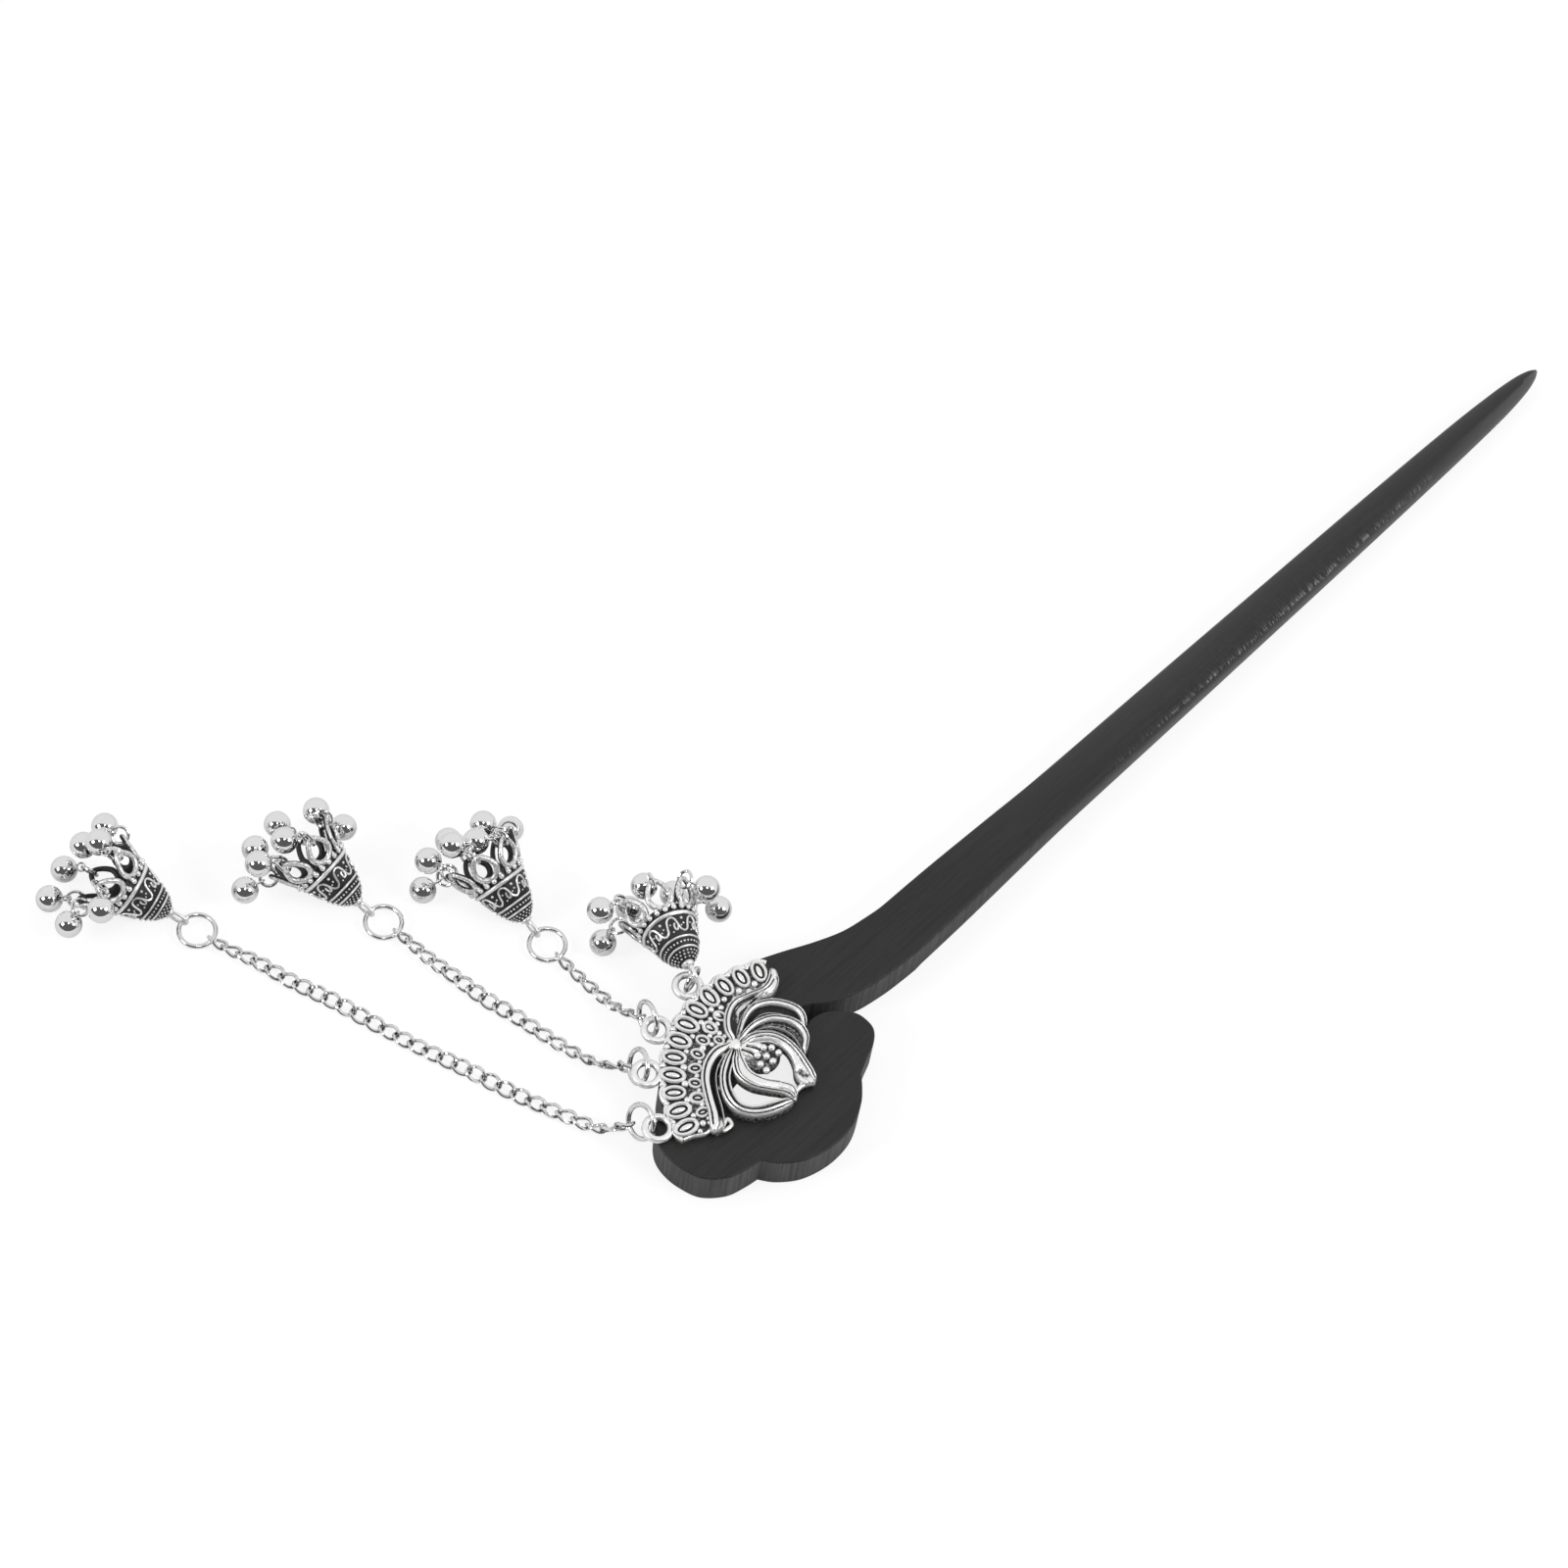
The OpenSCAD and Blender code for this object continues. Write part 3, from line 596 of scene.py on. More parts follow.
# %% [markdown]
# ## The wooden stick
# The real stick is sawn from a 6 mm board with a fretsaw, its edges are broken with
# sandpaper, and the shank is rounded down to its point. The outline is drawn
# lobe by lobe, filled, extruded to the board's thickness and its long edges are
# bevelled. The end of that block is then carried along X, shrinking and rounding from
# section to section, so that head and shank are one closed skin.

# %% The head's outline
board_t = 6.0
head_l = 34.5
shank_l = 145.0
shank_w = 8.5
hundredth = head_l / 100
root_y = shank_w / 2
outline_steps = 7
lobes = [
    [(-5, 13), (-16, 15), (-28, 19.5), (-42, 26), (-57, 32), (-70, 34.5), (-81, 32.5), (-90, 26.5)],
    [(-90, 26.5), (-100, 24), (-111, 21.5), (-120, 16), (-124.5, 9)],
    [(-124.5, 9), (-131, 6.5), (-136, 1), (-138, -6), (-137.5, -14), (-134.5, -22.5), (-127, -29),
     (-119, -31.5), (-113, -32.5)],
    [(-113, -32.5), (-109, -38), (-102, -43.5), (-94, -46.5), (-85, -47.7), (-75.5, -46.5),
     (-67, -42.5), (-61.5, -38), (-57.4, -33.6)],
    [(-57.4, -33.6), (-50.5, -30.5), (-43.5, -27.5), (-39.3, -23.5), (-38.4, -18.5), (-39.2, -14),
     (-42.5, -9.5), (-47.8, -5.2), (-53.5, -3.6), (-59, -4.5)],
    [(-59, -4.5), (-63, -8.5), (-68, -14), (-75, -18.5), (-84, -20.3), (-93, -18.8), (-100, -14),
     (-103.5, -7), (-100, -1), (-92, 1.2), (-84, 2.5), (-75, 5), (-66, 6), (-59, 5), (-54.5, 3.5)],
    [(-54.5, 3.5), (-51, 2), (-47, -0.9), (-42.5, -4), (-38, -6.3), (-33, -8), (-27, -9.6),
     (-16, -11.3), (-5, -12.1)]]
outline = [Vector((0, root_y))]
for lobe in lobes:
    stretch = [hundredth * q for q in smooth(lobe, outline_steps)]
    outline += stretch if (stretch[0] - outline[-1]).length > 0.01 else stretch[1:]
outline.append(Vector((0, -root_y)))
print("outline points:", len(outline))

# %% The head's block with its edges broken
edge_r = 0.3
edge_steps = 3
near_zero = 1e-4
wood = bmesh.new()
thick_sheet(wood, [(*p, 0) for p in outline], board_t)


def on_root(v):
    return abs(v.co.x) < near_zero


def is_rim(edge):
    """True for the edges round the top and the underside, except those of the root."""
    a, b = edge.verts
    return abs(a.co.z - b.co.z) < near_zero and not (on_root(a) and on_root(b))


def root_face():
    return max((f for f in wood.faces if all(on_root(v) for v in f.verts)), key=lambda f: f.calc_area())


bmesh.ops.bevel(wood, geom=[e for e in wood.edges if is_rim(e)], offset=edge_r, offset_type="OFFSET",
                affect="EDGES", segments=edge_steps, profile=0.5, material=-1, clamp_overlap=False,
                loop_slide=True)
print("faces in the head:", len(wood.faces), "corners of the root:", len(root_face().verts))

# %% The shank, carried from section to section
# Each section gives its place along the shank, its width, its height and how square it is.
shank_sections = [
    (0, 1, 1, 14), (0.07, 0.96, 1, 12), (0.15, 0.88, 0.98, 9), (0.22, 0.82, 0.95, 6),
    (0.32, 0.79, 0.91, 5), (0.45, 0.76, 0.86, 4), (0.6, 0.71, 0.8, 3.2), (0.74, 0.65, 0.74, 2.7),
    (0.86, 0.57, 0.68, 2.4), (0.93, 0.48, 0.6, 2.2), (0.97, 0.36, 0.5, 2.1), (0.99, 0.22, 0.36, 2),
    (1, 0.07, 0.14, 2)]
section_steps = 5
side_cuts = 7
point_z = 0.3 * board_t
long_edges = [e for e in root_face().edges if e.calc_length() > 1]
bmesh.ops.subdivide_edges(wood, edges=long_edges, cuts=side_cuts)


def shank_point(co, section):
    """Where a corner of the root's face goes in a section, seen from the section's middle."""
    place, width, height, square = section
    u = co.y / root_y
    v = (co.z - board_t / 2) / (board_t / 2)
    reach = (abs(u) ** square + abs(v) ** square) ** (-1 / square)
    half_h = board_t * height / 2
    return Vector((place * shank_l, u * reach * root_y * width, max(half_h, point_z) + v * reach * half_h))


front = root_face()
origins = {v: v.co.copy() for v in front.verts}
for section in smooth(shank_sections, section_steps)[1:]:
    ring = [origins[v] for v in front.verts]
    front = bmesh.ops.extrude_discrete_faces(wood, faces=[front])["faces"][0]
    origins = dict(zip(front.verts, ring))
    for v in front.verts:
        v.co = shank_point(origins[v], section)
print("faces in the stick:", len(wood.faces))

# %% Mark the sawn sides, the scuffed edge, the painted sheen on the top and the painted reflection low on the near side, and finish the stick
scuff_from, scuff_to = 42.0, 118.0
scuff_tilt, scuff_spread = 0.72, 0.14
sheen_from, sheen_full = 8.0, 55.0
steep_from, steep_span = 0.35, 0.5
sawn_to, sawn_gone, sawn_least = 5, 60, 0.25
reflection_from, reflection_span = 0.72, 0.6
taper = 0.3
bmesh.ops.recalc_face_normals(wood, faces=wood.faces)
wood.normal_update()
new_layer = wood.verts.layers.float.new
sawn, scuffed, painted_sheen, painted_underside_reflection = [new_layer(name) for name in ("sawn", "scuffed", "painted_sheen", "painted_underside_reflection")]
for v in wood.verts:
    x, y, z = v.co
    steep = clamped((1 - abs(v.normal.z) - steep_from) / steep_span)
    v[sawn] = steep * (1 if x < sawn_to else max(sawn_least, 1 - x / sawn_gone))
    along = (x - scuff_from) / (scuff_to - scuff_from)
    on_edge = exp(-((v.normal.z - scuff_tilt) / scuff_spread) ** 2) if v.normal.y < 0 else 0.0
    v[scuffed] = on_edge * sin(pi * along) ** 0.5 if 0 < along < 1 else 0.0
    # Painted sheen: the top grows lighter along the shank and towards its far side.
    shank_ramp = clamped((x - sheen_from) / (sheen_full - sheen_from))
    towards_far = clamped(0.5 + 0.5 * y / (root_y * (1 - taper * x / shank_l)))
    v[painted_sheen] = shank_ramp * towards_far ** 1.5 if v.normal.z > 0.2 else 0.0
    # Painted reflection: the near side is lighter low down, where it rounds under.
    low_on_side = clamped((reflection_from * board_t - z) / (reflection_span * board_t))
    v[painted_underside_reflection] = shank_ramp * low_on_side if v.normal.y < -0.2 else 0.0
stick = finish_piece(wood, "wooden_stick", "stick", black_wood, crease=40)
stick.modifiers.new("even_shading", "WEIGHTED_NORMAL").keep_sharp = True
print("stick faces:", len(stick.data.polygons))

# %% [markdown]
# ## The lotus and fan
# This is one thin casting. Its fan has rows of oval seeds, each an oval bead round a
# groove with a smaller bead in it, and in front of it stand seven curved blades, which
# are the leaves and petals. A blade is a flat grid whose columns follow the blade's two edges
# and whose rows follow a section through it: a round rim, a groove, a thin second ridge, a
# sunk web and another rim. The places are in hundredths of the fan's radius from the
# knot where the blades meet.

# %% The mount's places
fan_r = 17.2
fan_seeds = 12
fan_t = 0.9
petal_t = 1.2
rim_w = 0.8
rim_h = 0.55
loop_hole_d = 2.4
loop_bar_d = 1.0
glue_gap = 0.05
plate_z = board_t + glue_gap
share = fan_r / 100
knot_inset = 17.94
knot = Vector((-138 * hundredth + knot_inset, 8.4 * hundredth, plate_z))
fan_centre = Vector((16, -57.5)) * share
fan_first, fan_last = 62.8, 160.6
seed_step = (fan_last - fan_first) / (fan_seeds - 1)
loop_angles = (91.5, 114, 133, 156)
edge_w, edge_low, edge_wave = 1.9, 1.35, 0.55
edge_inset = 0.2
loop_neck = 0.3
loop_reach = fan_r + edge_w + loop_hole_d / 2 + loop_neck


def on_fan(r, angle, z=0.0):
    """A place on the fan in the mount's own millimetres."""
    a = radians(angle)
    return Vector((fan_centre.x + r * cos(a), fan_centre.y + r * sin(a), z))


def scallop(angle):
    return fan_r + edge_low + edge_wave * abs(cos(pi * (angle - fan_first) / seed_step))


# %% The fan's plate
fan_skirt = [(-80, -32.5), (-71, -38), (-62, -38), (-51, -27), (-40, -11), (-23, -2), (0, -3), (10, 6),
             (24, 17), (44, 18), (60, 14), (69, 20)]
edge_over = 0.5
cuts_per_seed = 8
edge_cuts = cuts_per_seed * fan_seeds
edge_from = fan_first - edge_over * seed_step
edge_span = fan_last - fan_first + 2 * edge_over * seed_step
edge_angles = [edge_from + edge_span * i / edge_cuts for i in range(edge_cuts + 1)]
plate_black = 0.12


def in_mount(point, z=0.0):
    """A place given in hundredths of the fan's radius, in the mount's own millimetres."""
    return Vector((share * point[0], share * point[1], z))


lotus = bmesh.new()
plate_edge = [on_fan(scallop(a), a) for a in edge_angles] + [in_mount(q) for q in fan_skirt]
thick_sheet(lotus, plate_edge, fan_t)
blacken(lotus, lambda co: plate_black)
print("plate corners:", len(plate_edge))

# %% The cast loops
loop_r = (loop_hole_d + loop_bar_d) / 2
loop_z = 0.1 + loop_bar_d / 2
cast_loop = aged(looped("cast_loop", oval_path(loop_r, loop_r, 40), (loop_bar_d / 2, loop_bar_d / 2), 14),
                 lambda co: 0.5 if co.xy.length < loop_r - 0.25 * loop_bar_d else 0.0)
for angle in loop_angles:
    stamp(lotus, cast_loop, shift(on_fan(loop_reach, angle, loop_z)))
print("cast loops:", len(loop_angles))

# %% The places of the blades
# Each blade gives its outer edge, its inner edge, its height as a share of petal_t and its
# section: the widths of rim, groove and ridge, how black its web stays, how high its veins
# stand, the width of its inner rim, and from where on the web is bright and swells.
leaves = [
    ([(1, 1), (5, 12), (14, 21), (26, 25.5), (40, 22), (53, 18), (64, 21), (71, 27.5)],
     [(3, -1), (14, 7), (26, 13.5), (40, 14.5), (51, 10.5), (62, 13), (68, 19), (71, 26.5)], 1.2,
     (0.36, 0.04, 0.54, 0.92, 0.08, 0.22, 0.57)),
    ([(-2, 2), (-14, 6), (-27, 3.5), (-39, -4.5), (-49, -17.5), (-58, -31.5), (-67.5, -41)],
     [(-3, -1), (-16, -2), (-29, -7.5), (-39.5, -18.5), (-47.5, -31), (-55, -41), (-60.5, -47)], 1.27,
     (0.44, 0.1, 0.78, 0.95, 0.1, 0.2, 0.82)),
    ([(4, 1), (20, 10), (35, 13), (48, 7), (56.5, -4), (59.5, -15), (55.5, -24.5), (50, -28)],
     [(5, 0), (21.5, 4), (35.5, 4), (45, -4), (50, -13.5), (51, -21.5), (50, -27.5)], 0.94,
     (0.32, 0.02, 0.66, 1.0, 0.1, 0.12, 0.9)),
    ([(3.5, -0.5), (22, 1.5), (36.5, -3), (46, -13), (49.5, -24), (46.5, -34.5), (39.5, -40.5), (33, -45)],
     [(3.5, -2), (20, -3), (31.5, -8.5), (38, -18), (39.5, -28.5), (36.5, -38), (33, -44.5)], 1.1,
     (0.32, 0.02, 0.66, 0.7, 0.12, 0.12, 0.86)),
    ([(2.5, -3), (16, -4.5), (27.5, -13), (32.5, -25), (32, -39), (28.5, -53), (26.5, -60), (24.5, -67)],
     [(1.5, -4), (14, -10), (23.5, -19), (26, -32), (22, -43.5), (15.5, -52.5), (14.5, -60), (19, -67)], 0.99,
     (0.36, 0.06, 0.42, 0.5, 0.06, 0.25, -0.2)),
    ([(-2, -2), (-15, -6), (-28, -14), (-38, -27), (-40, -41), (-34, -53), (-20.5, -62), (-1, -67.5)],
     [(-2.5, -3.5), (-11.5, -9.5), (-24, -17.5), (-31.5, -28.5), (-34, -40), (-28, -49.5),
      (-15.5, -56.5), (-1, -63.5)], 1.15,
     (0.46, 0.08, 0.54, 0.8, 0.02, 0.44, 0.9)),
    ([(-1, -4), (-10.5, -10.5), (-17.5, -21.5), (-16, -35.5), (-8.5, -47.5), (-1.5, -57.5), (-0.5, -66.5)],
     [(1, -4.5), (-5, -15.5), (-8, -26), (-4.5, -38), (2.5, -48), (7, -57.5), (4, -66)], 1.04,
     (0.42, 0.07, 0.36, 0.5, 0.05, 0.45, -0.2))]
# One hollow at the tip of a petal: its place, two half sizes, turn and depth.
pits = [(20.6, -55, 1.05, 0.62, -82, 0.38)]
blade_steps = 56
web_sink = 0.5
web_swell = 0.22
web_bow = 0.12
bright_fade = 0.12
# Depths are measured down from the blade's top, and shares are of rim_h.
rim_depth, ridge_depth, inner_depth = 0.4, 0.15, 0.35
ridge_share, inner_share = 0.92, 0.6
room_used = 0.86
crevice = 0.03
web_places = 8
vein_places = (2, 4, 6)
vein_black = 0.72
edge_black = 0.3
rim_foot_black = 0.6
pit_black = 0.62
tip_from = 0.94
blade_foot = 0.02
narrowest = 0.15
print("blades:", len(leaves))


# %% Helpers for the blades
def even_points(points, count, z=0.0):
    """Points of a smooth curve at even steps of its length."""
    total, place = measured(smooth([in_mount(q, z) for q in points], 12))
    return [place(total * k / count) for k in range(count + 1)]


def half_round(start, width, foot, crest, steps):
    """A rounded rim of a section: places across it, their heights and how black they stay."""
    return [(start + width / 2 * (1 - cos(pi * i / steps)),
             foot + (crest - foot) * sin(pi * i / steps) ** 0.6,
             0.0 if 0 < i < steps else rim_foot_black) for i in range(steps + 1)]


def cast_section(width, top, size, style, t):
    """A section through a blade from its outer edge: rim, groove, ridge, web and inner rim."""
    rim, gap, ridge, black, veins, inner, bright_from = style
    start, end = -size * rim_w / 2, width + 0.28 * size
    fit = min(1, room_used * (end - start) / (rim + ridge + inner + 2 * gap)) * min(1, size + 0.2)
    bright = clamped((t - bright_from) / bright_fade)
    places = half_round(start, rim * fit, top - rim_depth, top + rim_h * size, 6)
    s = places[-1][0]
    places.append((s + gap * fit / 2, top - 0.1, min(1, gap * 12)))
    places += half_round(s + gap * fit, ridge * fit, top - ridge_depth, top + ridge_share * rim_h * size, 7)
    start = places[-1][0] + crevice
    end -= inner * fit + crevice
    level = top - web_sink + bright * (web_sink + web_swell)
    for i in range(web_places + 1):
        u = i / web_places
        vein = i in vein_places and veins > 0
        bow = (2 * bright - 1) * web_bow * sin(pi * u)
        shade = (vein_black * black if vein else black) * (1 - bright)
        shade += bright * (edge_black if u in (0, 1) else 0.0)
        places.append((start + (end - start) * u, level + bow + (veins if vein else 0), shade))
    places += half_round(end + crevice, inner * fit, top - inner_depth, top + inner_share * rim_h * size, 5)
    return places


def rounded_end(section, t):
    """Draws a section together where the blade ends, as far as a round tip needs."""
    past = max(0, (t - tip_from) / (1 - tip_from))
    q = max(0.12, sqrt(max(0, 1 - past * past)))
    middle = (section[0][0] + section[-1][0]) / 2
    return [(middle + (s - middle) * q, z * (0.55 + 0.45 * q), black) for s, z, black in section]


def blade_way(a_side, b_side, i):
    """The way across a blade. Where its edges meet, it is taken from nearer the middle."""
    way = b_side[i] - a_side[i]
    if way.length > narrowest:
        return way.normalized()
    return blade_way(a_side, b_side, i + 2 if i < blade_steps / 2 else i - 2)


def pit_dip(co, x, y, half_l, half_w, turn):
    """How deep a point lies in a pit, from 0 outside it to 1 on its floor."""
    off = co.xy - in_mount((x, y)).xy
    off.rotate(Matrix.Rotation(-radians(turn), 2))
    return exp(-(off.x / half_l) ** 6 - (off.y / half_w) ** 6)


def blade(outer_edge, inner_edge, height_share, style):
    """One leaf or petal: a grid laid between its two edges, with walls down to the plate."""
    a_side, b_side = even_points(outer_edge, blade_steps), even_points(inner_edge, blade_steps)
    sections = []
    for i, (a, b) in enumerate(zip(a_side, b_side)):
        t = i / blade_steps
        size = min(1, 0.45 + 5 * min(t, 1 - t))
        top = petal_t * height_share * (0.94 + 0.06 * sin(pi * t))
        sections.append(rounded_end(cast_section((b - a).length, top, size, style, t), t))
    rows = len(sections[0]) - 1
    bm = bmesh.new()
    bmesh.ops.create_grid(bm, x_segments=blade_steps, y_segments=rows, size=1)
    patina = bm.verts.layers.float.new("patina")
    for v in bm.verts:
        i, k = round((v.co.x + 1) / 2 * blade_steps), round((v.co.y + 1) / 2 * rows)
        s, z, black = sections[i][k]
        v.co = a_side[i] + blade_way(a_side, b_side, i) * s + Vector((0, 0, z))
        v[patina] = black
        for *place, deep in pits:
            dip = pit_dip(v.co, *place)
            v.co.z -= deep * dip
            v[patina] = max(v[patina], pit_black * dip)
    walls = bmesh.ops.extrude_edge_only(bm, edges=[e for e in bm.edges if e.is_boundary])["geom"]
    for v in new_ones(walls):
        v.co.z = blade_foot
    bmesh.ops.holes_fill(bm, edges=new_ones(walls, bmesh.types.BMEdge), sides=0)
    return template(bm, "blade")


# %% The blades
for outer_edge, inner_edge, height_share, style in leaves:
    stamp(lotus, blade(outer_edge, inner_edge, height_share, style))
print("corners with the blades:", len(lotus.verts))

# %% Helpers for the seeds
leaf_middles = [((a + b).xy / 2, (b - a).length / 2) for entry in leaves
                for a, b in zip(even_points(entry[0], 30), even_points(entry[1], 30))]
uneven_hand = random.Random(5)
seed_turn, seed_vary = 7, 0.06
boss_inset, boss_h, boss_sink = 2.9, 0.3, 0.06
floor_h, floor_lift = 0.06, 0.02
seed_clear, bead_clear = 0.25, -0.3
bead_wander = 0.12


def under_a_leaf(q, spare):
    """True where a blade covers a place of the fan."""
    return any((q.xy - middle).length < reach + spare for middle, reach in leaf_middles)


def seed_row(inset, first, count, half_l, half_w, wire, rise, rough=1.0):
    """A row of seeds, each a round bead along an oval, a black floor and a boss."""
    rim = looped("oval_bead", oval_path(half_l - wire, half_w - wire, 20), (wire, wire), 7)
    inner_l, inner_w = half_l - boss_inset * wire, half_w - boss_inset * wire
    boss = template(lump(bmesh.new(), (inner_l, inner_w, boss_h), fine=(16, 10)), "seed_boss")
    hollow = template(lump(bmesh.new(), (half_l - wire, half_w - wire, floor_h), fine=(20, 6)), "seed_floor")
    hollow = aged(hollow, lambda co: 1.0)
    for i in range(count):
        angle = fan_first + (first + i) * seed_step
        turn = rough * uneven_hand.uniform(-seed_turn, seed_turn)
        size = 1 - seed_vary * rough * uneven_hand.uniform(-0.8, 1.2)
        at = on_fan(fan_r - inset, angle, fan_t + rise)
        if not under_a_leaf(at, seed_clear):
            lie = shift(at) @ spin(angle + turn) @ scaled(size, size, 1)
            stamp(lotus, rim, lie)
            stamp(lotus, hollow, lie @ shift((0, 0, floor_lift - rise)))
            stamp(lotus, boss, lie @ shift((0, 0, -boss_sink)))


def bead_row(inset, first, count, radius, rise=0.02):
    """Granules that fill the gaps between the seeds."""
    for i in range(count):
        r = fan_r - inset + uneven_hand.uniform(-bead_wander, bead_wander)
        at = on_fan(r, fan_first + (first + i) * seed_step, fan_t + rise)
        if not under_a_leaf(at, bead_clear):
            granule(lotus, at, radius * uneven_hand.uniform(0.85, 1.15))


# %% The seeds of the fan, from its edge inwards
seed_row(0, 0, fan_seeds, 1.82, 1.22, 0.29, 0.24)
bead_row(-1.35, 0.5, fan_seeds - 1, 0.42)
bead_row(1.5, 0.5, fan_seeds - 1, 0.5)
seed_row(2.95, 1.5, fan_seeds - 2, 1.22, 0.98, 0.27, 0.18, 2.2)
bead_row(3.4, 1, fan_seeds, 0.46)
bead_row(2.3, 0, 5, 0.44)
bead_row(2.7, 0.5, 5, 0.4)
bead_row(4.4, 1.5, fan_seeds - 2, 0.38, 0)
seed_row(2.95, 0.5, 1, 0.8, 0.6, 0.2, 0.2)
seed_row(4.9, 3, fan_seeds - 5, 0.98, 0.82, 0.25, 0.14, 2.6)
bead_row(5.3, 2.5, fan_seeds - 4, 0.4)
bead_row(6.3, 3, fan_seeds - 5, 0.42, 0)
for inset, steps, radius in ((2.3, 11.15, 0.5), (3.2, 11.3, 0.42), (1.4, 11.5, 0.4), (3.7, 10.9, 0.4)):
    granule(lotus, on_fan(fan_r - inset, fan_first + steps * seed_step, fan_t + 0.02), radius)
edge_path = [on_fan(scallop(a) - edge_inset, a, fan_t) for a in edge_angles]
stamp(lotus, swept("fan_edge", stands(edge_path), (0.26, 0.36), 10))
skirt_path = [edge_path[-1]] + [in_mount(q, fan_t) for q in fan_skirt[:3]]
stamp(lotus, swept("skirt_edge", stands(smooth(skirt_path, 6)), (0.3, 0.26), 8))
print("corners with the seeds:", len(lotus.verts))

# %% The cup and the stamens in it
stamens = [(3, -26), (11.5, -24.5), (20, -22), (2.5, -33), (12, -31), (20.5, -29), (7, -19), (15.5, -17.5)]
stamen_r = 0.52
stamen_z = 0.95
bed_at = (10.5, -19.5)
bed_r, bed_top_r, bed_h = 2.7, 2.45, 0.7
bed_black = 0.62
cup_at = (9.5, -9.5)
cup_r = (2.5, 1.75)
cup_h = 1.5
cup_cells = 44
slits = [((10, -6.5), (19, -15)), ((6, -8), (12, -17)), ((1.5, -7.5), (6, -18))]
slit_w = 0.15
slit_depth = 0.35


def off_segment(p, a, b):
    """Distance of a point from a straight slit."""
    t = clamped((p - a).dot(b - a) / (b - a).length_squared)
    return (p - a.lerp(b, t)).length


bed = bmesh.new()
bmesh.ops.create_cone(bed, cap_ends=True, segments=32, radius1=bed_r, radius2=bed_top_r, depth=bed_h,
                      matrix=shift(in_mount(bed_at, bed_h / 2)))
stamp(lotus, aged(template(bed, "stamen_bed"), lambda co: bed_black))
cup = bmesh.new()
bmesh.ops.create_grid(cup, x_segments=cup_cells, y_segments=cup_cells, size=1)
patina = cup.verts.layers.float.new("patina")
for v in cup.verts:
    u, w = v.co.x * sqrt(1 - v.co.y ** 2 / 2), v.co.y * sqrt(1 - v.co.x ** 2 / 2)
    flat = in_mount(cup_at).xy + Vector((u * cup_r[0], w * cup_r[1]))
    near_slit = min(off_segment(flat, share * Vector(a), share * Vector(b)) for a, b in slits)
    v[patina] = exp(-(near_slit / slit_w) ** 2)
    v.co = (*flat, cup_h * sqrt(max(0, 1 - (u * u + w * w) ** 1.5)) - slit_depth * v[patina])
stamp(lotus, template(cup, "cup"))
for q in stamens:
    lump(lotus, [stamen_r] * 3, in_mount(q, stamen_z), fine=(16, 10))
print("stamens:", len(stamens))

# %% The tie bar, the ends of the fan and the knot
tie = even_points([(-1, -66), (5, -61.5), (14, -61.5), (22, -66)], 16, 0.8)
stamp(lotus, aged(swept("tie", stands(tie), (0.45, 0.38), 10), lambda co: 0.5 if co.z < 1.0 else 0.2))
lump(lotus, (1.15, 0.62, 0.9), in_mount((67, 20.5), 1.0), 50)
lump(lotus, (0.75, 0.6, 0.85), in_mount((-63.5, -40), 1.0), 40)
foot = even_points([(-58.5, -44), (-49.5, -40.5), (-50.5, -46.5), (-58.5, -46), (-58.5, -44)], 24, 0.75)
stamp(lotus, swept("foot", stands(foot), (0.27, 0.3), 8))
lump(lotus, (1.15, 1.15, 0.85), (0, 0, 0.9))
bmesh.ops.translate(lotus, vec=knot, verts=lotus.verts)
finish_piece(lotus, "silver_lotus", "lotus_mount", aged_silver, 50, 22)

# %% [markdown]
# ## Bell caps
# The four bells come from one mould. The cap is a turned profile, so it is spun from
# half a section, outside and inside, with the ridges in it. What a lathe can't make is
# stamped on: rows of granules, a running vine, and the seven pointed loops of the crown.
# Each bell is the same cap, turned about its own axis and hung at its own pose.

# %% The bells' places
# Each bell has the place of its tip, its heading, its tilt and the turn of its crown. The
# last one hangs from the first cast loop.
bell_poses = [
    ((-68.1, 71.6, 1.75), -24, 25, 32),
    ((-48.5, 55.3, 1.75), -10, 25, 45),
    ((-33.9, 37.4, 1.75), 3, 25, 15),
    (None, 23, -8, 45)]
last_bell_hang = Vector((1.607, 1.399, 1.55))
bell_d = 8.4
bell_h = 6.7
crown_loops = 7
crown_h = 4.6
crown_flare = 24
crown_base_r = bell_d / 2 - 0.35
crown_base_z = bell_h + 0.9
crown_bar = 0.7
crown_sink = 0.35
almond_h = 1.12 * crown_h
almond_w = 3.5
almond_end = 0.75
eye_bar = 0.5
eye_l = 3.0
eye_w = 2.15
eye_sink = 0.35


def loop_hole(k):
    return knot + on_fan(loop_reach, loop_angles[k - 1], loop_z)


def bell_tip(k):
    at = bell_poses[k - 1][0]
    return Vector(at) if at else loop_hole(1) + last_bell_hang


def bell_place(k):
    """From a bell's own frame, with its tip at the origin and its mouth along +Z, to its place."""
    yaw, tilt = bell_poses[k - 1][1:3]
    return shift(bell_tip(k)) @ spin(-yaw) @ spin(tilt - 90, "X")


# %% The turned cap
def bulge(z0, z1, r, swell):
    """A round ridge of the profile between two heights."""
    return [(r + swell * sin(pi * t), z0 + (z1 - z0) * t) for t in (0, 0.2, 0.4, 0.6, 0.8, 1)]


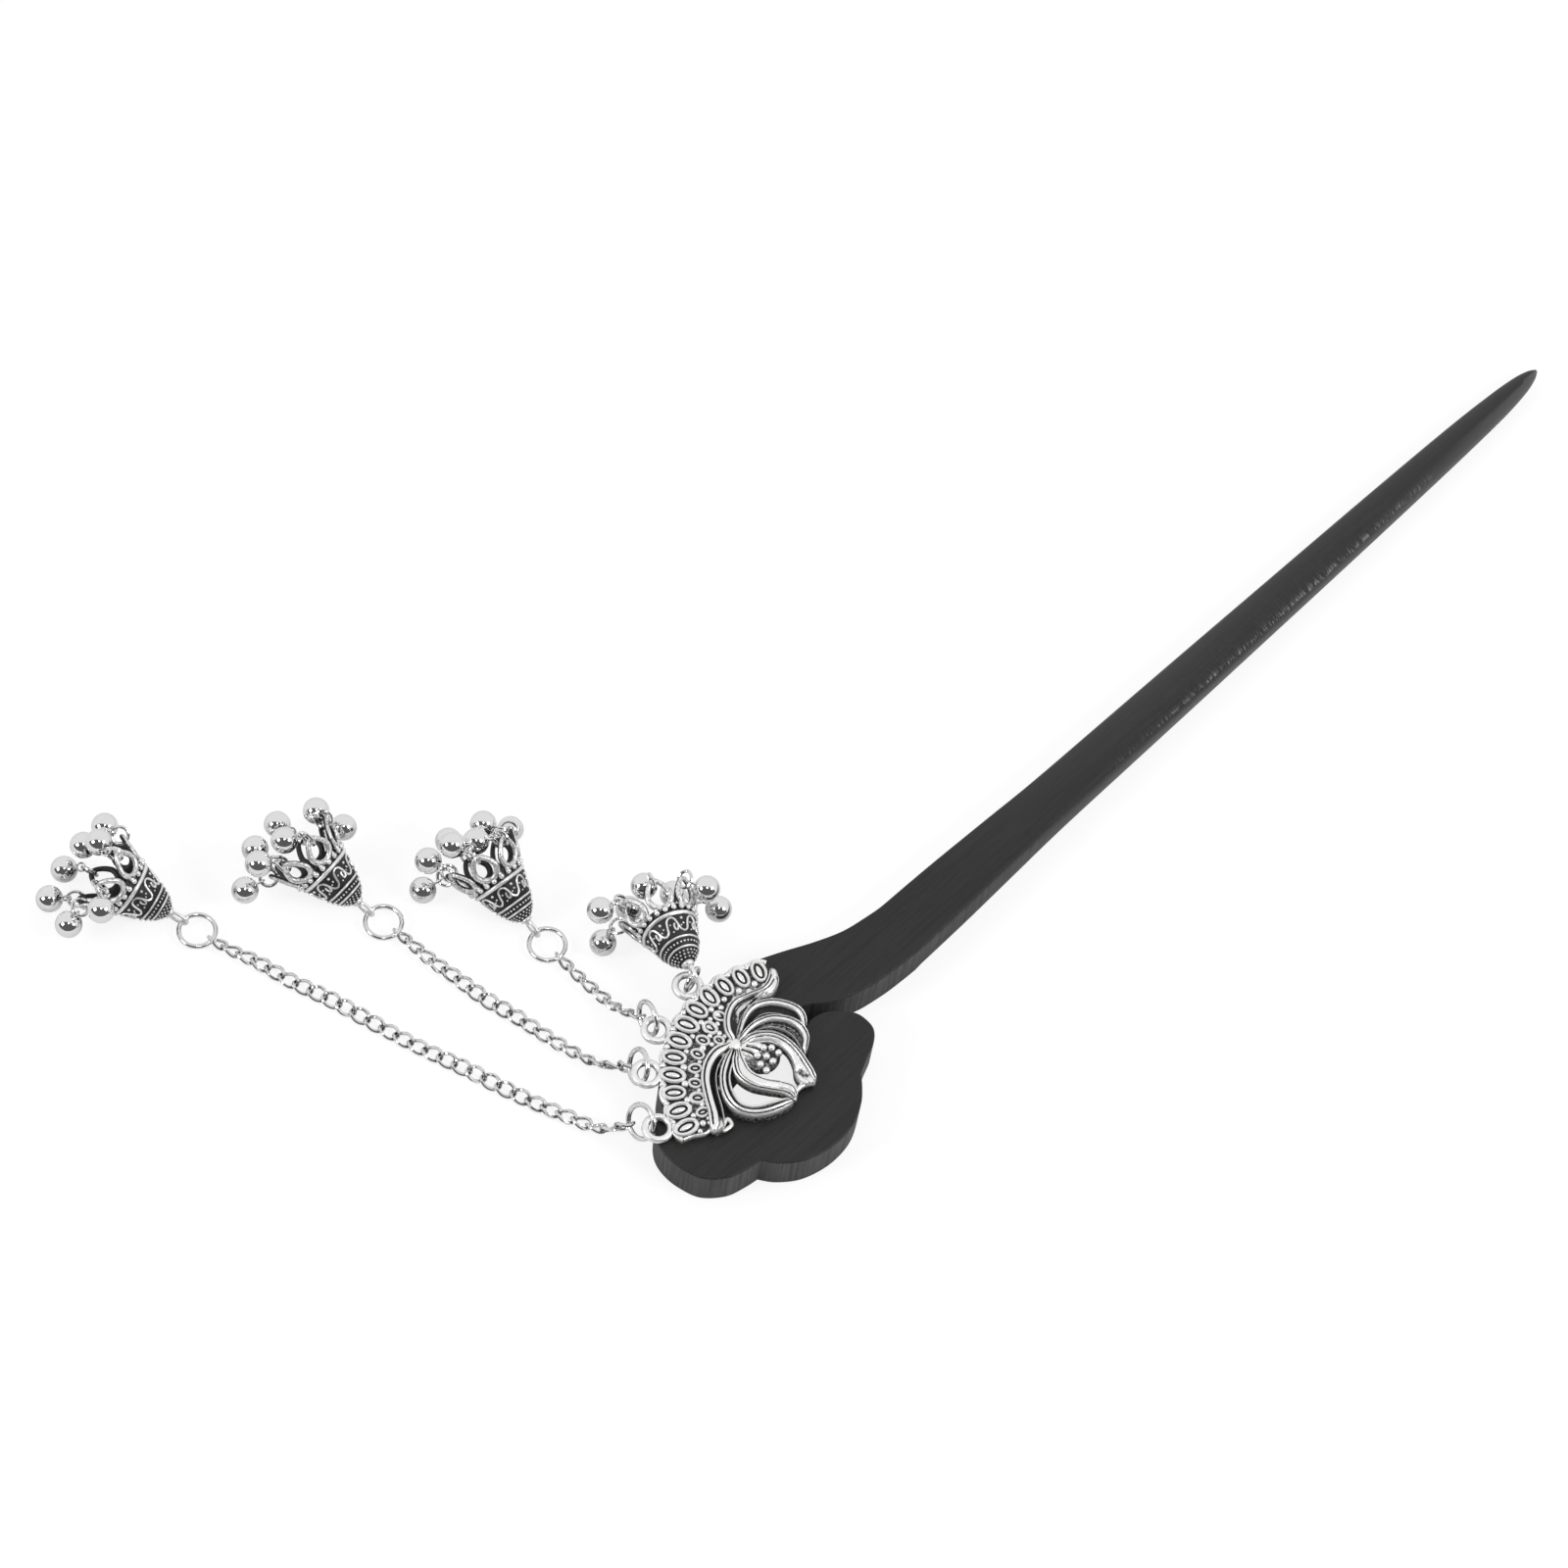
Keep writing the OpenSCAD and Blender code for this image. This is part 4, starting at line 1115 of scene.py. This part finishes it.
ridges = ((1.8, 2.2, 2.1, 0.24), (3.05, 3.45, 2.72, 0.26), (6.2, 6.95, 3.72, 0.4))
tip = [(0.0, 0.0), (0.55, 0.02), (0.82, 0.18), (0.86, 0.36), (0.8, 0.5), (1.0, 0.62), (1.5, 1.1),
       (2.02, 1.72)]
outside = (tip + bulge(*ridges[0]) + [(2.3, 2.32), (2.62, 2.95)] + bulge(*ridges[1])
           + [(2.86, 3.6), (3.2, 4.6), (3.5, 5.5), (3.68, 6.1)] + bulge(*ridges[2])
           + [(3.78, 7.1), (3.85, 7.7), (3.9, 8.0)])
inside = [(3.32, 8.04), (3.2, 7.2), (2.9, 5.2), (2.3, 3.4), (1.4, 2.5), (0.0, 2.1)]
tip_top = 0.55
cap_steps = 56
ridge_foot = 0.02
profile = bmesh.new()
line = [profile.verts.new((r, 0, z)) for r, z in outside + inside]
hoop = [profile.edges.new(pair) for pair in zip(line, line[1:])]
bmesh.ops.spin(profile, geom=line + hoop, cent=(0, 0, 0), axis=(0, 0, 1), dvec=(0, 0, 0),
               angle=2 * pi, steps=cap_steps, use_merge=True, use_duplicate=False)
bmesh.ops.remove_doubles(profile, verts=profile.verts, dist=0.001)


def cap_black(co):
    """The ridges and the tip are wiped bright, and the bands between them stay black."""
    wiped = co.z < tip_top or any(low + ridge_foot < co.z < high - ridge_foot for low, high, *rest in ridges)
    return 0.0 if wiped and co.xy.length > 0.5 else 1.0


blacken(profile, cap_black)
cap = bmesh.new()
stamp(cap, template(profile, "turned_cap"))
print("faces in the turned cap:", len(cap.faces))


# %% Granules and the vine
cone = [(0.62, 1.0), (1.1, 1.5), (1.72, 2.02), (2.3, 2.32), (2.95, 2.62), (3.6, 2.86), (4.6, 3.2),
        (5.5, 3.5), (6.1, 3.68), (8.0, 3.9)]


def on_cap(angle, z, proud=0.0):
    """A place on the outside of the cap, or a little off it, without the ridges."""
    a, r = radians(angle), lookup(z, cone) + proud
    return Vector((r * cos(a), -r * sin(a), z))


def wire_on_cap(points, wire):
    """A thin round wire on the cap: points are angles and heights."""
    path = [on_cap(q.x, q.y, vine_proud) for q in smooth(points, 4)]
    last = len(path) - 1
    places = [stand(p, path[min(i + 1, last)] - path[max(i - 1, 0)], Vector((p.x, p.y, 0)))
              for i, p in enumerate(path)]
    return swept("vine", places, (wire, wire), 6)


# Height, number, radius, how far they stand off the cap, turn and fineness of each row
granule_rows = [(0.85, 13, 0.15, 0.03, 0, 1), (1.18, 17, 0.15, 0.03, 11, 1), (1.52, 21, 0.15, 0.03, 0, 1),
                (2.62, 30, 0.17, 0.05, 0, 1), (7.35, 21, 0.4, 0.3, 0, 2)]
half_gap = 180 / crown_loops
vine = [(-half_gap, 3.92), (-17, 4.25), (-13, 5.0), (-8.5, 5.75), (0, 6.03), (8.5, 5.75), (13, 5.0),
        (17, 4.25), (half_gap, 3.92)]
curl = [(-13, 4.95), (-10, 4.35), (-4.5, 4.3), (-3, 4.85), (-6, 5.15)]
vine_r, vine_proud, dot_proud = 0.155, 0.06, 0.03
dots = [(half_gap, 5.72, 0.24), (half_gap - 2, 5.0, 0.17), (half_gap + 5, 4.75, 0.14), (5, 5.1, 0.16),
        (4, 4.1, 0.15)]
for z, count, radius, proud, turn, fine in granule_rows:
    for i in range(count):
        granule(cap, on_cap(turn + 360 * i / count, z, proud), radius, fine)
for j in range(crown_loops):
    middle = 360 * j / crown_loops
    for motif in (vine, curl):
        stamp(cap, wire_on_cap([(middle + a, z) for a, z in motif], vine_r))
    for a, z, radius in dots:
        granule(cap, on_cap(middle + a, z, dot_proud), radius, 1)
print("faces with granules and vine:", len(cap.faces))


# %% The crown
def almond_path(height, width, steps=40):
    """A drop-shaped loop, wide below and pointed above, standing in the plane of Y and Z."""
    path = []
    for t in full_turn(steps):
        narrow, squat = (1 - 0.3 * sin(t), 1) if sin(t) > 0 else (1, 0.8)
        path.append(Vector((0, width / 2 * cos(t) * narrow, squat * height / 2 * sin(t))))
    return path


def almond_sizes(path):
    """The loop's bar is thin at its tip, where the small ring passes, and thicker below."""
    top = max(p.z for p in path)
    return [1 + 0.2 * clamped(0.75 - p.z / top) for p in path]


bar_half = (0.36, 0.35)
loop_black, loop_back_black = 0.4, 0.85
root_granule, root_granule_r = Vector((0.12, 1.2, -1.75)), 0.34
almond = almond_path(almond_h - almond_end, almond_w - 0.3)
crown_loop = aged(looped("almond", almond, bar_half, 10, almond_sizes(almond)),
                  lambda co: loop_back_black if co.x < -0.05 else loop_black)
for j in range(crown_loops):
    lean = (spin(-360 * j / crown_loops) @ shift((crown_base_r, 0, crown_base_z)) @ spin(crown_flare, "Y")
            @ shift((0, 0, crown_h / 2 - crown_sink)))
    stamp(cap, crown_loop, lean)
    for side in (-1, 1):
        granule(cap, root_granule * Vector((1, side, 1)), root_granule_r, within=lean)
bell_cap = template(cap, "bell_cap")
print("faces in a cap:", len(bell_cap.polygons))

# %% The eye at the tip, and the four bells
eye_r = (eye_w - eye_bar) / 2
half_straight = (eye_l - eye_w) / 2
eye_path = []
for t in full_turn(32):
    way = (sin(t) > 0.01) - (sin(t) < -0.01)
    eye_path.append(Vector((0, eye_r * cos(t), eye_r * sin(t) + half_straight * way)))
eye = looped("eye", eye_path, (eye_bar / 2, eye_bar / 2), 10)
for k in range(1, 5):
    bm = bmesh.new()
    stamp(bm, bell_cap, spin(-bell_poses[k - 1][3]))
    stamp(bm, eye, shift((0, 0, eye_sink - eye_l / 2)))
    bmesh.ops.transform(bm, matrix=bell_place(k), verts=bm.verts)
    finish_piece(bm, f"bell_cap_{k}", f"bell_{k}", aged_silver, 55, 16)

# %% [markdown]
# ## Small rings and balls
# Every crown loop carries a small split ring, and each ring carries a polished ball by
# its own little eye. Where a ball lies is given for each bell, along the bell's
# axis, to its side and up, and the ring's lean follows from it.

# %% Small rings and balls
ball_aims = [
    [(15.6, 8.2, -3.4), (16.5, 5.3, 0.3), (8.6, -9.3, 2.7), (11.3, -8.4, -5.3), (20.1, -7.1, -8.4),
     (18, -1.4, -8.1), (17.9, 1.3, -5.6)],
    [(13.3, 7.5, -1.2), (16.2, -5.7, 0.4), (16.5, -9.5, -0.3), (13.1, -9.8, -3.8), (16.2, -1.6, -7.1),
     (20.1, 2.5, -8.3), (6.8, 8.5, -2.8)],
    [(15.6, 2.1, -0.2), (14.4, -2.8, 1.7), (16.5, -5, 2.7), (14.8, -6.4, -0.3), (12.3, -11.6, -6.6),
     (21.4, 0, -9), (11.4, 9.8, -5.9)],
    [(9, 6.1, 3.6), (14, -1.2, 1.3), (11.2, -11.9, 1.9), (11.3, -7.2, -3.2), (20.3, -4.2, -2.6),
     (19.2, 6.5, -2.2), (-2.3, 17.2, -5.9)]]
play = 0.12
ball_d = 3.7
drop_wire_d = 0.4
drop_wire_seen = 0.47
drop_ring_d = 2.8
drop_r = (drop_ring_d - drop_wire_d) / 2
drop_eye_bar = 0.3
drop_eye_r = drop_wire_d / 2 + drop_eye_bar / 2 + play + 0.1
ball_hang = ball_d / 2 + drop_eye_r - 0.1
crown_tip = crown_h / 2 - crown_sink + (almond_h - almond_end) / 2
rim_reach = hypot(almond_end, crown_bar) / 2
small_ring = split_ring(drop_ring_d, drop_wire_seen, 0.06, 28, 8)
ball_eye = split_ring(2 * drop_eye_r + drop_eye_bar, drop_eye_bar, 0.02, 18, 7)
ball = template(lump(bmesh.new(), [ball_d / 2] * 3, fine=(32, 18)), "ball")


def drop(k, j):
    """Where ring j of bell k and its ball hang, in the bell's own frame."""
    forward, sideways, upward = ball_aims[k - 1][j]
    aim = Vector((sideways, -upward, forward))
    a, flare = radians(bell_poses[k - 1][3] + 360 * j / crown_loops), radians(crown_flare)
    r = crown_base_r + crown_tip * sin(flare)
    rim_at = Vector((r * cos(a), -r * sin(a), crown_base_z + crown_tip * cos(flare)))
    side = Vector((-sin(a), -cos(a), 0))
    fall = across(aim - rim_at, side).normalized()
    centre = rim_at + (drop_r - rim_reach - drop_wire_d / 2 - play) * fall
    end = centre + drop_r * fall
    way = (aim - end).normalized()
    return side, fall, centre, way, end + (drop_eye_r - drop_wire_d / 2 - drop_eye_bar / 2 - play) * way


for k in range(1, 5):
    rings, balls = bmesh.new(), bmesh.new()
    for j in range(crown_loops):
        side, fall, centre, way, eye_at = drop(k, j)
        stamp(rings, small_ring, stand(centre, side, side.cross(fall)))
        stamp(balls, ball_eye, stand(eye_at, across(side.cross(fall), way), way))
        stamp(balls, ball, stand(eye_at + way * ball_hang, way, way.orthogonal()))
    for bm in (rings, balls):
        bmesh.ops.transform(bm, matrix=bell_place(k), verts=bm.verts)
    finish_piece(rings, f"small_rings_{k}", f"drop_rings_{k}", wire_silver, rays=10)
    finish_piece(balls, f"hanging_balls_{k}", f"balls_{k}", bright_silver)
print("drops:", 4 * crown_loops)

# %% [markdown]
# ## Jump rings and end rings
# Each is bent from round wire, so each has a fine joint where its cut ends meet. The
# first jump ring is a small one, and the bell beside the head hangs from it.

# %% Jump rings and end rings
jump_wire_d = 0.6
jump_d = 5.3
first_jump_d = 4.0
end_wire_d = 0.55
end_d = 5.65
end_r = (end_d - end_wire_d) / 2
end_turns = (172, 173, 185)
end_level = 1.02
wire_seen = 0.1
eye_reach = eye_l - eye_sink - eye_bar - end_wire_d / 2 - play
jump_axes = [Vector(v).normalized() for v in
             ((-0.25, 0.97, 0), (-0.91, 0.33, 0.24), (-0.79, 0.45, 0.41), (-0.83, 0.2, 0.53))]
jump_falls = [Vector(v) for v in ((1, 0.25, 0), (0.2, 0.97, -0.2), (0.1, 0.9, -0.45), (0.1, 0.85, -0.5))]
jump_shifts = [Vector((1.16, 0.3, 0)), ORIGIN, ORIGIN, Vector((-0.4, 0.4, 0))]
jump_joint, end_joint = Vector((0.6, 0.2, -0.8)), Vector((1, 0.3, 0))


def jump_r(k):
    return ((first_jump_d if k == 1 else jump_d) - jump_wire_d) / 2


def jump_centre(k):
    fall = across(jump_falls[k - 1], jump_axes[k - 1]).normalized()
    return loop_hole(k) + jump_shifts[k - 1] + (fall * jump_r(k) if k > 1 else ORIGIN)


def end_ring_centre(k):
    at = bell_place(k) @ Vector((0, 0, -eye_reach))
    t = radians(end_turns[k - 1])
    return Vector((at.x + end_r * sin(t), at.y + end_r * cos(t), end_level))


def bent_ring(name, node_name, shape, place):
    """One ring as a piece of its own."""
    bm = bmesh.new()
    stamp(bm, shape, place)
    finish_piece(bm, name, node_name, wire_silver, rays=10)


for k in range(1, 5):
    bent_ring(f"jump_wire_{k}", f"jump_ring_{k}",
              split_ring(2 * jump_r(k) + jump_wire_d, jump_wire_d + wire_seen, 0.07),
              stand(jump_centre(k), jump_axes[k - 1], jump_joint))
for k in range(1, 4):
    bent_ring(f"end_wire_{k}", f"end_ring_{k}", split_ring(end_d, end_wire_d + wire_seen, 0.05, 56, 12),
              stand(end_ring_centre(k), UP, end_joint))
print("rings placed")

# %% [markdown]
# ## The twisted chains
# A curb chain's links are ovals that are each twisted about their length, so that the
# chain lies flat. One link is swept as a template, and it is stamped at even steps of the
# chain's route. The route and the turn of the links about it are chosen to
# follow the photograph, and the chain rests on the surface.

# %% The chains
chain_routes = [
    [(-65.9, 62.5, 0.9), (-64.4, 58.5, 0.6), (-63.2, 53.5, 0.6), (-61.4, 47.8, 0.6), (-59.8, 41.7, 0.6),
     (-57.8, 34.5, 0.6), (-55.9, 28.5, 0.6), (-54, 22, 0.6), (-51.9, 15.9, 0.6), (-50.1, 11.2, 0.7),
     (-49.1, 8.2, 1.4)],
    [(-47.4, 46.2, 0.9), (-47.3, 43, 0.6), (-46.6, 38, 0.6), (-46.1, 33, 0.6), (-45, 28.5, 0.6),
     (-44.3, 24, 0.6), (-43.5, 19.8, 0.6), (-42.7, 16.6, 0.8), (-41.7, 14.4, 1.5)],
    [(-34.5, 28.4, 0.9), (-34.6, 25.5, 0.7), (-34.5, 22.8, 0.9), (-34.7, 20.6, 1.6), (-34.8, 19, 2.4)]]
chain_falls = [Vector(v) for v in ((-0.33, 0.59, -0.74), (-0.06, 0.61, -0.79), (0.05, 0.68, -0.73))]
chain_turns = [
    [(0, -40), (0.12, -8), (0.2, 4), (0.31, 34), (0.43, 0), (0.53, 0), (0.64, 34), (0.78, 0), (0.88, -15),
     (1, -72)],
    [(0, -40), (0.22, -10), (0.4, 16), (0.54, 0), (0.72, -20), (1, -80)],
    [(0, -40), (0.5, -30), (1, -50)]]
link_wire_d = 0.36
link_seen = 0.49
link_w = 2.25
link_pitch = 2.27
link_twist = 38
link_play = 0.22
link_half_w = (link_w - link_wire_d) / 2
link_hold = link_wire_d + link_play
ring_hold = jump_wire_d / 2 + link_wire_d / 2 + link_play
last_drop = 1.6
route_steps = 8
link_steps = 28
link_sides = 8


def link_shape(half_l):
    """One twisted link about the origin, with its length along X."""
    path = []
    for t in full_turn(link_steps):
        q, turn = link_half_w * sin(t), radians(link_twist) * cos(t)
        path.append(Vector((half_l * cos(t), q * cos(turn), q * sin(turn))))
    return looped("link", path, (link_seen / 2, link_seen / 2), link_sides)


def chain_path(k):
    """From the end ring of a chain, along its route and up to its jump ring."""
    jump = 5 - k
    route = [Vector(p) for p in chain_routes[k - 1]]
    ring_at = end_ring_centre(k)
    lead = route[0] - ring_at
    lead.z = 0
    start = ring_at + lead.normalized() * (end_r - end_wire_d / 2 - link_wire_d / 2 - link_play)
    fall = across(chain_falls[k - 1], jump_axes[jump - 1]).normalized()
    end = jump_centre(jump) + fall * (jump_r(jump) - ring_hold)
    return smooth([start] + route + [end + last_drop * fall, end], route_steps)


for k in (1, 2, 3):
    total, place = measured(chain_path(k))
    count = round((total - link_hold) / link_pitch)
    pitch = (total - link_hold) / count
    half_l = (pitch + link_hold) / 2

    def link_turn(s):
        return radians(lookup((s - half_l) / (total - 2 * half_l), chain_turns[k - 1]))

    def along(s):
        """A place on the route, lifted so far that the link there lies on the surface."""
        at = place(s)
        at.z = max(at.z, link_seen / 2 + 0.01 + link_half_w * (0.36 + 0.64 * abs(sin(link_turn(s)))))
        return at

    link = link_shape(half_l)
    bm = bmesh.new()
    for i in range(count):
        s = half_l + i * pitch
        centre = (along(s - half_l) + 2 * along(s) + along(s + half_l)) / 4
        u = (along(s + 0.8 * half_l) - along(s - 0.8 * half_l)).normalized()
        side, turn = UP.cross(u).normalized(), link_turn(s)
        v = side * cos(turn) + u.cross(side) * sin(turn)
        stamp(bm, link, shift(centre) @ Matrix((u, v, u.cross(v))).transposed().to_4x4())
    finish_piece(bm, f"twisted_chain_{k}", f"chain_{k}", wire_silver, rays=14)
    print("chain", k, "links", count, "pitch", round(pitch, 3))
